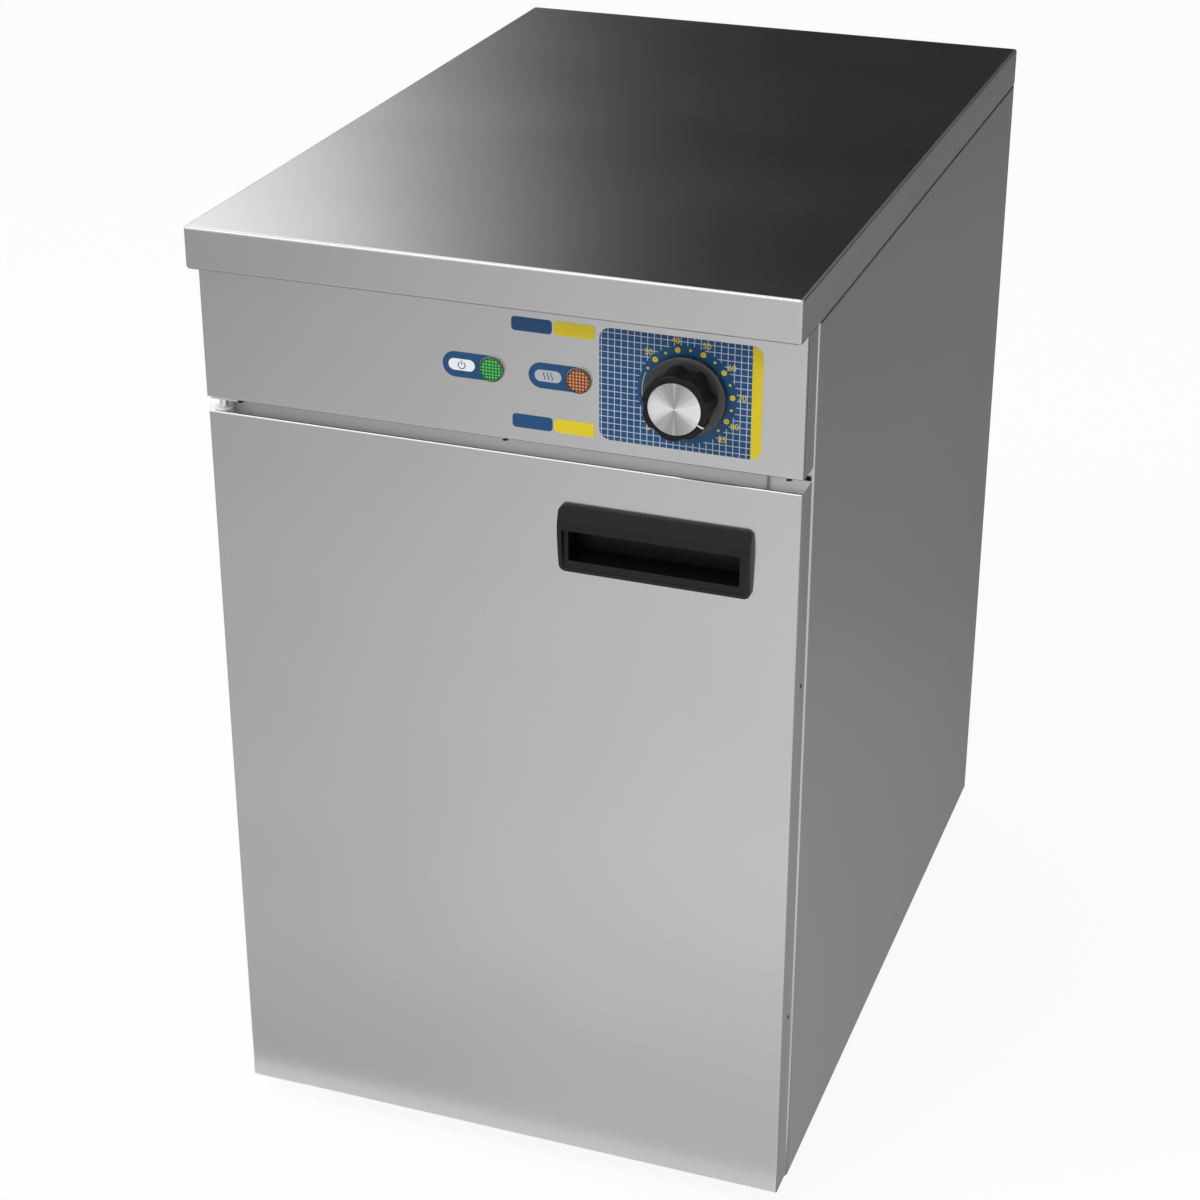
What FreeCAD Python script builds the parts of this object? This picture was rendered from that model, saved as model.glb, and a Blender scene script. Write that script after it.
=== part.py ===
"""Plate warmer cabinet: a one-door heated stainless cabinet under a plain worktop.

Millimetres, +Z up. The floor is z = 0 and the origin is under the middle of the whole object.
X runs across the front, from the hinge side to the handle side, and Y runs from front to back.
"""
import FreeCAD, Part
import math
import os

os.makedirs("parts", exist_ok=True)

V = FreeCAD.Vector
X_AXIS = V(1, 0, 0)
Y_AXIS = V(0, 1, 0)
Z_AXIS = V(0, 0, 1)

# Overall sizes
worktop_width = 400.0
worktop_depth = 607.5
cabinet_height = 660.0
foot_height = 15.0

# Sheet metal
worktop_sheet = 1.5
skin_sheet = 1.0
liner_sheet = 0.8
bracket_sheet = 2.0
overrun = 5.0
slide_clearance = 0.1
tolerance = 0.001
slot_round_share = 0.499
full_bend_share = 0.999
seat_clearance = 0.3

# Worktop
worktop_lip = 27.6
worktop_return = 14.0
worktop_fold = 2.0
worktop_corner = 2.0
worktop_lip_fold = 1.5
board_thickness = 15.0
gasket_thickness = 0.25
gasket_inset = 1.5

# Body
body_setback = 41.9
side_inset = 0.15
side_flange = 20.0
body_fold = 2.5
wall_insulation = 24.0
side_wall = 27.85
rear_wall = 34.6
liner_flange = 10.0
rail_flange = 15.0
back_panel_inset = 2.0

# Control panel
panel_setback = 15.4
panel_depth = 22.6
panel_drop = 119.9
panel_inset = 0.2
panel_fold = 1.5
panel_tab_clearance = 1.0
control_height = 45.9
knob_from_edge = 73.8
lamp_from_knob = 69.0
lamp_pitch = 57.0
panel_bracket_height = 50.0
panel_bracket_foot = 12.0

# Labels
film_thickness = 0.2
dial_field_left = 56.0
dial_field_right = 47.0
dial_field_height = 72.7
dial_field_corner = 7.0
dial_window_radius = 8.0
accent_length = 54.0
accent_height = 9.0
accent_gap = 3.0
lamp_label_length = 33.0
lamp_label_height = 16.7

# Lamps
lamp_barrel_radius = 6.0
lamp_barrel_length = 30.0
lamp_bezel_radius = 8.4
lamp_bezel_height = 0.9
lamp_lens_radius = 7.6
lamp_lens_height = 1.5
lamp_lens_dome = 0.5
lamp_plug_radius = 4.5
lamp_plug_length = 5.0
lamp_nut_radius = 9.5
lamp_nut_height = 4.0
lamp_tab_width = 5.0
lamp_tab_length = 8.0
lamp_tab_pitch = 6.0
lamp_tab_sheet = 0.8

# Knob and thermostat
knob_length = 24.4
knob_gap = 0.8
knob_skirt_radius = 25.5
knob_skirt_height = 5.0
knob_body_radius = 21.0
knob_lobes = 7
knob_flute_radius = 11.0
knob_flute_depth = 3.0
knob_pointer_angle = 118.4
knob_cap_radius = 16.7
knob_cap_height = 1.2
knob_front_round = 0.8
knob_bore_depth = 16.0
shaft_radius = 3.0
shaft_flat_share = 0.75
shaft_clearance = 0.05
shaft_engagement = 14.0
thermostat_width = 38.0
thermostat_height = 44.0
thermostat_depth = 30.0
thermostat_neck_radius = 5.0
thermostat_neck_height = 3.0
thermostat_tab_width = 6.3
thermostat_tab_length = 9.0
thermostat_tab_sheet = 0.8
capillary_radius = 1.2
capillary_bend = 12.0
capillary_lead = 36.0
capillary_slope_end = 108.0
bulb_radius = 3.0
bulb_length = 90.0
bulb_wall_gap = 8.0
bulb_clip_width = 8.0
bulb_clip_wall = 1.5
bulb_clip_shares = (0.2, 0.8)

# Door
door_setback = 16.1
door_depth = 21.9
door_side_inset = 0.65
door_gap = 9.3
door_bottom_gap = 4.7
door_fold = 1.5
door_overlap_top = 20.8
door_overlap_bottom = 27.3
door_top_hole_radius = 2.0
door_top_hole_inset = 2.6
door_top_hole_margin = 13.5
door_side_hole_radius = 1.75
door_side_hole_inset = 7.6
door_side_hole_pitch = 251.7
door_hinge_keepout = 20.0
door_pad_margin = 6.0

# Seal and catch
seal_width = 10.0
seal_margin = 2.0
seal_squeeze_gap = 0.3
catch_width = 10.0
catch_length = 60.0
catch_thickness = 2.6
catch_inset = 3.5
strike_thickness = 0.8

# Hinges
hinge_edge = 7.35
hinge_depth = 7.9
hinge_pin_radius = 3.0
hinge_pin_reach = 14.0
hinge_bush_radius = 4.8
hinge_bush_flange_radius = 6.0
hinge_bush_flange = 0.5
hinge_bush_length = 20.0
hinge_running_clearance = 0.06
hinge_plate_clearance = 0.3
hinge_plate_lift = 2.1
hinge_eye_wall = 1.8
hinge_plate_width = 19.0
hinge_plate_margin = 1.0
hinge_leg_height = 24.0
hinge_foot_height = 14.0
hinge_foot_start = 15.0
hinge_foot_width = 24.0

# Handle
handle_width = 127.5
handle_height = 47.4
handle_from_edge = 93.0
handle_below_top = 50.6
handle_corner = 4.5
handle_frame = 3.5
handle_hood_top = 3.0
handle_hood_lip = 6.8
handle_hood_height = 17.2
handle_side_border = 7.6
handle_bottom_border = 8.2
handle_pocket_depth = 17.0
handle_pocket_wall = 1.6
handle_pocket_rise = 10.0
handle_edge_round = 0.8

# Shelves
shelf_frame_radius = 3.0
shelf_corner = 14.0
shelf_wire_radius = 1.8
shelf_wire_pitch = 24.0
shelf_bar_radius = 2.2
shelf_weld = 0.5
shelf_side_clearance = 3.0
shelf_front_inset = 14.0
shelf_back_gap = 27.0
shelf_bar_inset = 120.0
runner_ledge = 14.0
runner_height = 16.0
runner_sheet = 1.0

# Heating
guard_height = 36.0
guard_side_clearance = 2.0
guard_back_gap = 37.0
guard_slot_length = 34.0
guard_slot_width = 6.0
guard_slot_pitch_x = 52.0
guard_slot_pitch_y = 24.0
element_radius = 4.0
element_lift = 18.0
element_spread = 60.0
element_front_gap = 114.8
element_side = 80.0
element_tail = 14.0
element_flange_width = 84.0
element_flange_height = 24.0
element_flange_thickness = 2.0
element_clip_width = 14.0
element_clip_depth = 8.0
element_clip_setback = 60.0
cutout_radius = 9.0
cutout_height = 13.0
cutout_cap_radius = 6.3
cutout_pocket = 12.0
cutout_pocket_depth = 15.6

# Wiring and cable entry
terminal_length = 52.0
terminal_width = 22.0
terminal_height = 20.0
terminal_from_back = 90.0
terminal_poles = 3
terminal_screw_radius = 2.6
terminal_screw_depth = 3.0
gland_from_edge = 90.0
gland_drop = 75.0
gland_bore_radius = 4.5
gland_thread_radius = 8.0
gland_thread_length = 10.0
gland_hex_radius = 13.0
gland_hex_height = 5.0
gland_dome_radius = 10.0
gland_dome_length = 13.0
gland_dome_round = 3.0
gland_nut_height = 4.5
loom_radius = 3.0
loom_bend = 25.0

# Back panel
vent_length = 40.0
vent_width = 4.0
vent_pitch = 10.0
vent_rows = 4
vent_columns = 3
vent_column_pitch = 60.0
vent_x = 60.0
back_screw_rows = 4
screw_radius = 1.9
screw_head_radius = 4.0
screw_head_height = 2.2
screw_head_round = 0.8
screw_length = 8.0
screw_edge = 9.0

# Feet
foot_radius = 19.0
foot_taper = 3.0
foot_inset_side = 55.0
foot_inset_front = 70.0
foot_recess_radius = 8.0
foot_recess_depth = 7.0
bolt_radius = 3.0
bolt_head_radius = 6.0
bolt_head_height = 4.0
bolt_nut_height = 5.0
bolt_nut_clearance = 3.0

# Levels, from the floor up
side_bottom_z = foot_height
worktop_top_z = side_bottom_z + cabinet_height
lip_bottom_z = worktop_top_z - worktop_lip
side_top_z = lip_bottom_z - gasket_thickness
board_bottom_z = worktop_top_z - worktop_sheet - board_thickness
panel_bottom_z = worktop_top_z - panel_drop
control_z = panel_bottom_z + control_height
door_top_z = panel_bottom_z - door_gap
door_bottom_z = side_bottom_z + door_bottom_gap
cavity_top_z = door_top_z - door_overlap_top
cavity_bottom_z = door_bottom_z + door_overlap_bottom
compartment_z = cavity_top_z + liner_sheet + wall_insulation
base_z = side_bottom_z + skin_sheet
guard_z = cavity_bottom_z + guard_height
shelf_spacing = (cavity_top_z - guard_z) / 3
lower_shelf_z = guard_z + shelf_spacing
upper_shelf_z = lower_shelf_z + shelf_spacing

# Depths, from the knob's face to the tail of the cable gland
knob_proud = knob_length + knob_gap - panel_setback
gland_tail = gland_hex_height + gland_dome_length
total_depth = knob_proud + worktop_depth + skin_sheet + gland_tail
worktop_front_y = knob_proud - total_depth / 2
worktop_back_y = worktop_front_y + worktop_depth
panel_front_y = worktop_front_y + panel_setback
panel_back_y = panel_front_y + panel_depth
door_front_y = worktop_front_y + door_setback
door_back_y = door_front_y + door_depth
body_front_y = worktop_front_y + body_setback
body_back_y = worktop_back_y
liner_front_y = body_front_y + skin_sheet
liner_back_y = body_back_y - rear_wall

# Half widths
worktop_half = worktop_width / 2
side_half = worktop_half - side_inset
lining_half = side_half - body_fold
stile_half = side_half - side_flange
panel_half = worktop_half - panel_inset
door_half = worktop_half - door_side_inset
cavity_half = side_half - side_wall
liner_half = cavity_half + liner_sheet

# Controls, placed from the right edge of the control panel
knob_x = panel_half - knob_from_edge
heat_lamp_x = knob_x - lamp_from_knob
power_lamp_x = heat_lamp_x - lamp_pitch

# Hinge axis
hinge_x = hinge_edge - door_half
hinge_y = door_front_y + hinge_depth

# Mains entry and terminal block, placed from the left edge of the worktop
gland_x = gland_from_edge - worktop_half

# Handle places
handle_x = door_half - handle_from_edge
handle_z = door_top_z - handle_below_top
handle_top_z = handle_z + handle_height / 2
handle_bottom_z = handle_z - handle_height / 2
window_top_z = handle_top_z - handle_hood_height
window_bottom_z = handle_bottom_z + handle_bottom_border
window_half = handle_width / 2 - handle_side_border
pocket_back_y = door_front_y + handle_pocket_depth


def block(x, y, z):
    """A box from three (low, high) pairs."""
    return Part.makeBox(x[1] - x[0], y[1] - y[0], z[1] - z[0], V(x[0], y[0], z[0]))


def rod(radius, start, axis, length):
    return Part.makeCylinder(radius, length, start, axis)


def fuse(shapes):
    joined = shapes[0].multiFuse(shapes[1:])
    return joined.removeSplitter()


def cut_all(shape, tools):
    return shape.cut(Part.makeCompound(tools)) if tools else shape


def mirrored(shape):
    """The same piece on the other side of the cabinet's middle plane."""
    return shape.mirror(V(0, 0, 0), X_AXIS)


def round_edges(shape, radius, wanted):
    """Fillets the edges whose two ends both satisfy a test on their point."""
    edges = []
    for edge in shape.Edges:
        ends = [vertex.Point for vertex in edge.Vertexes]
        if len(ends) == 2 and all(wanted(end) for end in ends):
            edges.append(edge)
    return shape.makeFillet(radius, edges)


def edges_parallel(shape, axis):
    found = []
    for edge in shape.Edges:
        if len(edge.Vertexes) == 2:
            run = edge.Vertexes[1].Point - edge.Vertexes[0].Point
            if run.Length > 0 and run.cross(axis).Length < run.Length * tolerance:
                found.append(edge)
    return found


def rounded_block(x, y, z, radius, axis):
    """A box with its four edges along one axis rounded."""
    solid = block(x, y, z)
    return solid.makeFillet(radius, edges_parallel(solid, axis))


def face_rounded(solid, axis, level, radius):
    """Rounds the edges that lie on the plane at one level of an axis."""
    return round_edges(solid, radius, lambda point: abs(point[axis] - level) < tolerance)


def tray(spans, axis, face_is_low, sheet, fold):
    """A tray folded from one sheet: a face square to an axis, four flanges and an open side."""
    low_high = 0 if face_is_low else 1
    outer = block(*spans)
    if fold > 0:
        outer = face_rounded(outer, axis, spans[axis][low_high], fold)
    inner = []
    for number, span in enumerate(spans):
        low = span[0] + sheet
        high = span[1] - sheet
        if number == axis and face_is_low:
            high = span[1] + overrun
        if number == axis and not face_is_low:
            low = span[0] - overrun
        inner.append((low, high))
    hollow = block(*inner)
    if fold > sheet:
        hollow = face_rounded(hollow, axis, inner[axis][low_high], fold - sheet)
    return outer.cut(hollow)


def tube_path(points, bend):
    """A wire through the points, with one tangent arc of the bend radius at each corner."""
    edges = []
    start = points[0]
    for number in range(1, len(points) - 1):
        corner = points[number]
        back = (points[number - 1] - corner).normalize()
        ahead = (points[number + 1] - corner).normalize()
        half_angle = back.getAngle(ahead) / 2
        trim = bend / math.tan(half_angle)
        entry = corner + back * trim
        leave = corner + ahead * trim
        inward = (back + ahead).normalize()
        middle = corner + inward * (bend / math.sin(half_angle) - bend)
        if (entry - start).Length > slide_clearance:
            edges.append(Part.LineSegment(start, entry).toShape())
            start = entry
        edges.append(Part.Arc(start, middle, leave).toShape())
        start = leave
    edges.append(Part.LineSegment(start, points[-1]).toShape())
    return Part.Wire(edges)


def tube(points, radius, bend):
    """A round bar or tube along a path of straight runs and arcs."""
    path = tube_path(points, bend)
    direction = points[1] - points[0]
    ring = Part.Wire([Part.makeCircle(radius, points[0], direction)])
    solid = path.makePipeShell([ring], True, True)
    print("tube", round(solid.Volume / (math.pi * radius**2 * path.Length), 4))
    return solid


def prism(outline, start, run):
    """An outline of points in a plane through start, extruded along run."""
    corners = [start + point for point in outline]
    face = Part.Face(Part.makePolygon(corners + [corners[0]]))
    return face.extrude(run)


def hexagon(radius, centre, height):
    """A hexagonal prism along +Y, with the radius to its corners."""
    corners = []
    for number in range(6):
        angle = math.radians(60 * number)
        corners.append(V(radius * math.cos(angle), 0, radius * math.sin(angle)))
    return prism(corners, centre, Y_AXIS * height)


def slot(x, y, z, length, width):
    """A cutter along Y through a panel: a slot along X with round ends."""
    half = length / 2
    body = rounded_block((x - half, x + half), y, (z - width / 2, z + width / 2),
                         width * slot_round_share, Y_AXIS)
    return body


def save(name, shape):
    solids = shape.Solids
    good = shape.isValid() and len(solids) > 0
    volume = sum(solid.Volume for solid in solids)
    print(name, len(solids), round(volume, 1), "" if good else "BAD")
    shape.exportStep(os.path.join("parts", name + ".step"))


def back_screw_places():
    """The back panel's screws stand in a column on each side flange."""
    low = side_bottom_z + back_panel_inset + screw_edge
    high = side_top_z - back_panel_inset - screw_edge
    step = (high - low) / (back_screw_rows - 1)
    column = side_half - side_flange / 2
    places = []
    for side in (-1, 1):
        for row in range(back_screw_rows):
            places.append((side * column, low + row * step))
    return places


def foot_places():
    across = side_half - foot_inset_side
    front = body_front_y + foot_inset_front
    back = body_back_y - foot_inset_front
    return [(x, y) for x in (-across, across) for y in (front, back)]


def worktop():
    """The worktop is one sheet folded down on four sides and turned under."""
    x = (-worktop_half, worktop_half)
    y = (worktop_front_y, worktop_back_y)
    outer = rounded_block(x, y, (lip_bottom_z, worktop_top_z), worktop_corner, Z_AXIS)
    outer = face_rounded(outer, 2, worktop_top_z, worktop_fold)
    outer = face_rounded(outer, 2, lip_bottom_z, worktop_lip_fold)
    hollow = block((x[0] + worktop_sheet, x[1] - worktop_sheet),
                   (y[0] + worktop_sheet, y[1] - worktop_sheet),
                   (lip_bottom_z + worktop_sheet, worktop_top_z - worktop_sheet))
    mouth = block((x[0] + worktop_return, x[1] - worktop_return),
                  (y[0] + worktop_return, y[1] - worktop_return),
                  (lip_bottom_z - overrun, worktop_top_z - worktop_sheet))
    return outer.cut(fuse([hollow, mouth]))


def worktop_board():
    """A board under the sheet makes the worktop stiff and quiet."""
    margin = worktop_sheet + slide_clearance
    return block((margin - worktop_half, worktop_half - margin),
                 (worktop_front_y + margin, worktop_back_y - margin),
                 (board_bottom_z, worktop_top_z - worktop_sheet))


def worktop_gasket():
    """Foam strips between the worktop's turned edge and the body's top flanges."""
    z = (side_top_z, lip_bottom_z)
    left = block((gasket_inset - side_half, -stile_half), (body_front_y + gasket_inset,
                 body_back_y - gasket_inset), z)
    back = block((-stile_half, stile_half),
                 (body_back_y - worktop_return, body_back_y - gasket_inset), z)
    return Part.makeCompound([left, mirrored(left), back])


def side_panel(is_left):
    """A side panel is a tray on edge, whose flanges make the body's front and back frames."""
    span = (-side_half, -stile_half)
    y = (body_front_y, body_back_y)
    z = (side_bottom_z, side_top_z)
    panel = tray([span, y, z], 0, True, skin_sheet, body_fold)
    cutters = []
    for x, height in back_screw_places():
        if x < 0:
            cutters.append(rod(screw_radius, V(x, body_back_y - overrun, height), Y_AXIS,
                               overrun * 2))
    panel = cut_all(panel, cutters)
    return panel if is_left else mirrored(panel)


def front_top_rail():
    """The rail between the side flanges over the cavity's mouth."""
    upright = block((-stile_half, stile_half), (body_front_y, liner_front_y),
                    (cavity_top_z, compartment_z + skin_sheet))
    ledge = block((-stile_half, stile_half), (liner_front_y, liner_front_y + rail_flange),
                  (compartment_z - skin_sheet, compartment_z))
    web = block((-stile_half, stile_half), (liner_front_y, liner_front_y + liner_sheet),
                (cavity_top_z + liner_flange + liner_sheet, compartment_z))
    return fuse([upright, ledge, web])


def front_bottom_rail():
    """The rail under the cavity's mouth, turned back under the base."""
    x = (-stile_half, stile_half)
    upright = block(x, (body_front_y, liner_front_y), (side_bottom_z, cavity_bottom_z))
    foot = block(x, (body_front_y, body_front_y + rail_flange), (side_bottom_z, base_z))
    return fuse([upright, foot])


def rear_top_rail():
    """An angle across the back carries the worktop's rear edge."""
    x = (-stile_half, stile_half)
    upright = block(x, (body_back_y - skin_sheet, body_back_y),
                    (side_top_z - side_flange, side_top_z))
    flange = block(x, (body_back_y - side_flange, body_back_y),
                   (side_top_z - skin_sheet, side_top_z))
    return fuse([upright, flange])


def base_panel():
    panel = block((-lining_half, lining_half), (liner_front_y, body_back_y - skin_sheet),
                  (base_z, base_z + skin_sheet))
    cutters = []
    for x, y in foot_places():
        cutters.append(rod(bolt_radius, V(x, y, base_z - overrun), Z_AXIS, overrun * 2))
    return cut_all(panel, cutters)


def back_panel():
    """The back panel is screwed on from outside, with vent slots at the top."""
    x = (back_panel_inset - side_half, side_half - back_panel_inset)
    z = (side_bottom_z + back_panel_inset, side_top_z - back_panel_inset)
    y = (body_back_y, body_back_y + skin_sheet)
    through = (y[0] - overrun, y[1] + overrun)
    cutters = [rod(gland_thread_radius, V(gland_x, through[0], gland_z()), Y_AXIS,
                   through[1] - through[0])]
    for place_x, place_z in back_screw_places():
        cutters.append(rod(screw_radius, V(place_x, through[0], place_z), Y_AXIS,
                           through[1] - through[0]))
    middle_row = (vent_rows - 1) / 2
    middle_column = (vent_columns - 1) / 2
    for row in range(vent_rows):
        for column in range(vent_columns):
            slot_x = vent_x + (column - middle_column) * vent_column_pitch
            slot_z = gland_z() + (row - middle_row) * vent_pitch
            cutters.append(slot(slot_x, through, slot_z, vent_length, vent_width))
    return cut_all(block(x, y, z), cutters)


def gland_z():
    return worktop_top_z - gland_drop


def capillary_route():
    """From the thermostat, back over the compartment floor and down through the ceiling."""
    start_z = control_z - thermostat_height / 4
    run_z = compartment_z + skin_sheet + capillary_bend
    back_y = liner_back_y - bulb_wall_gap - bulb_radius
    bulb_z = cavity_top_z - bulb_wall_gap - bulb_radius
    start_y = thermostat_back_y()
    right = cavity_half - bulb_length
    return [V(knob_x, start_y, start_z), V(knob_x, start_y + capillary_lead, start_z),
            V(right, start_y + capillary_slope_end, run_z), V(right, back_y, run_z),
            V(right, back_y, bulb_z), V(right - capillary_bend * 2, back_y, bulb_z)]


def sheet_passage(radius):
    """A cutter for the capillary where it drops from the compartment into the cavity."""
    drop = capillary_route()[3]
    return rod(radius, V(drop.x, drop.y, cavity_top_z - overrun), Z_AXIS,
               wall_insulation + overrun * 2 + skin_sheet)


def compartment_floor():
    """The floor of the control compartment lies on the cavity's top insulation."""
    floor = block((-lining_half, lining_half), (liner_front_y, body_back_y - skin_sheet),
                  (compartment_z, compartment_z + skin_sheet))
    return floor.cut(sheet_passage(capillary_radius * 2))


def liner_side(is_left):
    """A side wall of the cavity, with a flange behind the body's front flange."""
    wall = block((-liner_half, -cavity_half), (liner_front_y, liner_back_y),
                 (cavity_bottom_z, cavity_top_z))
    flange = block((-liner_half - liner_flange, -cavity_half),
                   (liner_front_y, liner_front_y + liner_sheet),
                   (cavity_bottom_z, cavity_top_z))
    piece = fuse([wall, flange])
    return piece if is_left else mirrored(piece)


def liner_back():
    back = block((-liner_half, liner_half), (liner_back_y, liner_back_y + liner_sheet),
                 (cavity_bottom_z, cavity_top_z))
    cutters = []
    for x in element_tail_places():
        cutters.append(rod(element_radius, V(x, liner_back_y - overrun, element_z()), Y_AXIS,
                           overrun * 2))
    return cut_all(back, cutters)


def liner_ceiling():
    x = (-liner_half, liner_half)
    sheet = block(x, (liner_front_y, liner_back_y + liner_sheet),
                  (cavity_top_z, cavity_top_z + liner_sheet))
    flange = block(x, (liner_front_y, liner_front_y + liner_sheet),
                   (cavity_top_z, cavity_top_z + liner_sheet + liner_flange))
    return fuse([sheet, flange]).cut(sheet_passage(capillary_radius * 2))


def liner_floor():
    x = (-liner_half, liner_half)
    sheet = block(x, (liner_front_y, liner_back_y + liner_sheet),
                  (cavity_bottom_z - liner_sheet, cavity_bottom_z))
    flange = block(x, (liner_front_y, liner_front_y + liner_sheet),
                   (cavity_bottom_z - liner_sheet - liner_flange, cavity_bottom_z))
    return fuse([sheet, flange])


def insulation_sides():
    """A slab between the skin and the liner on each side, short of the back panel's screws."""
    slab = block((-lining_half, -liner_half),
                 (liner_front_y + liner_sheet, body_back_y - screw_length),
                 (base_z + skin_sheet, compartment_z - skin_sheet))
    return Part.makeCompound([slab, mirrored(slab)])


def insulation_back():
    """The slab behind the cavity leaves room for the ends of the heating elements."""
    slab = block((-liner_half, liner_half), (liner_back_y + liner_sheet, body_back_y - skin_sheet),
                 (base_z + skin_sheet, compartment_z))
    cutters = []
    for x in element_tail_places():
        cutters.append(rod(element_radius * 2, V(x, liner_back_y - overrun, element_z()), Y_AXIS,
                           overrun + liner_sheet + element_tail * 2))
    return cut_all(slab, cutters)


def insulation_top():
    slab = block((-liner_half, liner_half), (liner_front_y + liner_sheet + rail_flange,
                 liner_back_y + liner_sheet), (cavity_top_z + liner_sheet, compartment_z))
    pocket = rod(cutout_pocket, V(0, 0, cavity_top_z + liner_sheet - overrun), Z_AXIS,
                 overrun + cutout_pocket_depth)
    return cut_all(slab, [sheet_passage(capillary_radius * 4), pocket])


def insulation_bottom():
    """The slab under the cavity hangs above the nuts of the feet."""
    room = cavity_bottom_z - liner_sheet - base_z - skin_sheet
    nut_room = bolt_nut_height + bolt_nut_clearance
    top = cavity_bottom_z - liner_sheet
    return block((-liner_half, liner_half), (liner_front_y + liner_sheet, liner_back_y + liner_sheet),
                 (top - room + nut_room, top))


def runner(is_left, level):
    """An angle on the liner wall carries one edge of a shelf."""
    y = shelf_span()
    plate = block((-cavity_half, runner_sheet - cavity_half), y, (level - runner_height, level))
    ledge = block((-cavity_half, runner_ledge - cavity_half), y, (level - runner_sheet, level))
    piece = fuse([plate, ledge])
    return piece if is_left else mirrored(piece)


def shelf_span():
    front = body_front_y + shelf_front_inset
    return (front, liner_back_y - shelf_back_gap)


def shelf_runners():
    runners = []
    for level in (lower_shelf_z, upper_shelf_z):
        for is_left in (True, False):
            runners.append(runner(is_left, level))
    return Part.makeCompound(runners)


def rod_frame(half, front, back, level):
    """A round bar bent to a rectangle with round corners."""
    corner = shelf_corner
    pieces = []
    for side in (-half, half):
        pieces.append(rod(shelf_frame_radius, V(side, front + corner, level), Y_AXIS,
                          back - front - corner * 2))
    for end in (front, back):
        pieces.append(rod(shelf_frame_radius, V(corner - half, end, level), X_AXIS,
                          half * 2 - corner * 2))
    turns = ((half, back, 0), (-half, back, 90), (-half, front, 180), (half, front, 270))
    for x, y, angle in turns:
        centre = V(x - math.copysign(corner, x), y + (corner if y == front else -corner), level)
        quarter = Part.makeTorus(corner, shelf_frame_radius, V(0, 0, 0), Z_AXIS, -180, 180, 90)
        quarter.rotate(V(0, 0, 0), Z_AXIS, angle)
        quarter.translate(centre)
        pieces.append(quarter)
    return fuse(pieces)


def wire_shelf(ledge_z):
    """A shelf of straight wires in a bent frame, tied by cross bars."""
    level = ledge_z + shelf_frame_radius
    half = cavity_half - shelf_side_clearance - shelf_frame_radius
    front, back = shelf_span()
    front = front + shelf_frame_radius
    back = back - shelf_frame_radius
    pieces = [rod_frame(half, front, back, level)]
    count = int((half - shelf_wire_pitch / 2) / shelf_wire_pitch)
    for number in range(-count, count + 1):
        pieces.append(rod(shelf_wire_radius, V(number * shelf_wire_pitch, front, level), Y_AXIS,
                          back - front))
    bar_z = level - shelf_wire_radius - shelf_bar_radius + shelf_weld
    bar_half = cavity_half - runner_ledge - shelf_bar_radius
    for y in (front + shelf_bar_inset, back - shelf_bar_inset):
        pieces.append(rod(shelf_bar_radius, V(-bar_half, y, bar_z), X_AXIS, bar_half * 2))
    return fuse(pieces)


def guard_span():
    front = body_front_y + shelf_front_inset
    return (front, liner_back_y - guard_back_gap)


def element_guard():
    """A slotted cover over the heating elements, folded down to stand on the cavity's floor."""
    half = cavity_half - guard_side_clearance
    y = guard_span()
    cover = block((-half, half), y, (cavity_bottom_z, guard_z))
    hollow = block((skin_sheet - half, half - skin_sheet), (y[0] + skin_sheet, y[1] + overrun),
                   (cavity_bottom_z - overrun, guard_z - skin_sheet))
    cover = cover.cut(hollow)
    columns = int((half * 2 - guard_slot_length) / guard_slot_pitch_x)
    rows = int((y[1] - y[0] - guard_slot_pitch_y / 2) / guard_slot_pitch_y)
    cutters = []
    for column in range(columns):
        x = (column - (columns - 1) / 2) * guard_slot_pitch_x
        for row in range(rows):
            place = (y[0] + y[1]) / 2 + (row - (rows - 1) / 2) * guard_slot_pitch_y
            span = (x - guard_slot_length / 2, x + guard_slot_length / 2)
            cutters.append(rounded_block(span, (place - guard_slot_width / 2,
                           place + guard_slot_width / 2), (guard_z - overrun, guard_z + overrun),
                           guard_slot_width * slot_round_share, Z_AXIS))
    return cut_all(cover, cutters)


def element_z():
    return cavity_bottom_z + element_lift


def element_tail_places():
    half = element_spread / 2
    return [-element_side - half, half - element_side, element_side - half, element_side + half]


def heating_elements():
    """Two hairpin elements lie side by side, with their ends through the cavity's back."""
    end = liner_back_y + liner_sheet + element_tail
    turn = liner_front_y + element_front_gap
    half = element_spread / 2
    solids = []
    for centre in (-element_side, element_side):
        z = element_z()
        points = [V(centre - half, end, z), V(centre - half, turn, z), V(centre + half, turn, z),
                  V(centre + half, end, z)]
        solids.append(tube(points, element_radius, half * full_bend_share))
    return Part.makeCompound(solids)


def element_flanges():
    solids = []
    y = (liner_back_y - element_flange_thickness, liner_back_y)
    for centre in (-element_side, element_side):
        plate = block((centre - element_flange_width / 2, centre + element_flange_width / 2), y,
                      (element_z() - element_flange_height / 2,
                       element_z() + element_flange_height / 2))
        cutters = []
        for x in element_tail_places():
            cutters.append(rod(element_radius, V(x, y[0] - overrun, element_z()), Y_AXIS,
                               overrun * 2 + element_flange_thickness))
        solids.append(cut_all(plate, cutters))
    return Part.makeCompound(solids)


def element_clips():
    """Posts on the cavity's floor hold the elements near their front bends."""
    front = liner_front_y + element_front_gap + element_clip_setback
    solids = []
    for x in element_tail_places():
        post = rounded_block((x - element_clip_width / 2, x + element_clip_width / 2),
                             (front, front + element_clip_depth),
                             (cavity_bottom_z, element_z() + element_radius * 2),
                             element_radius / 2, Y_AXIS)
        hole = rod(element_radius, V(x, front - overrun, element_z()), Y_AXIS,
                   element_clip_depth + overrun * 2)
        solids.append(post.cut(hole))
    return Part.makeCompound(solids)


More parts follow.
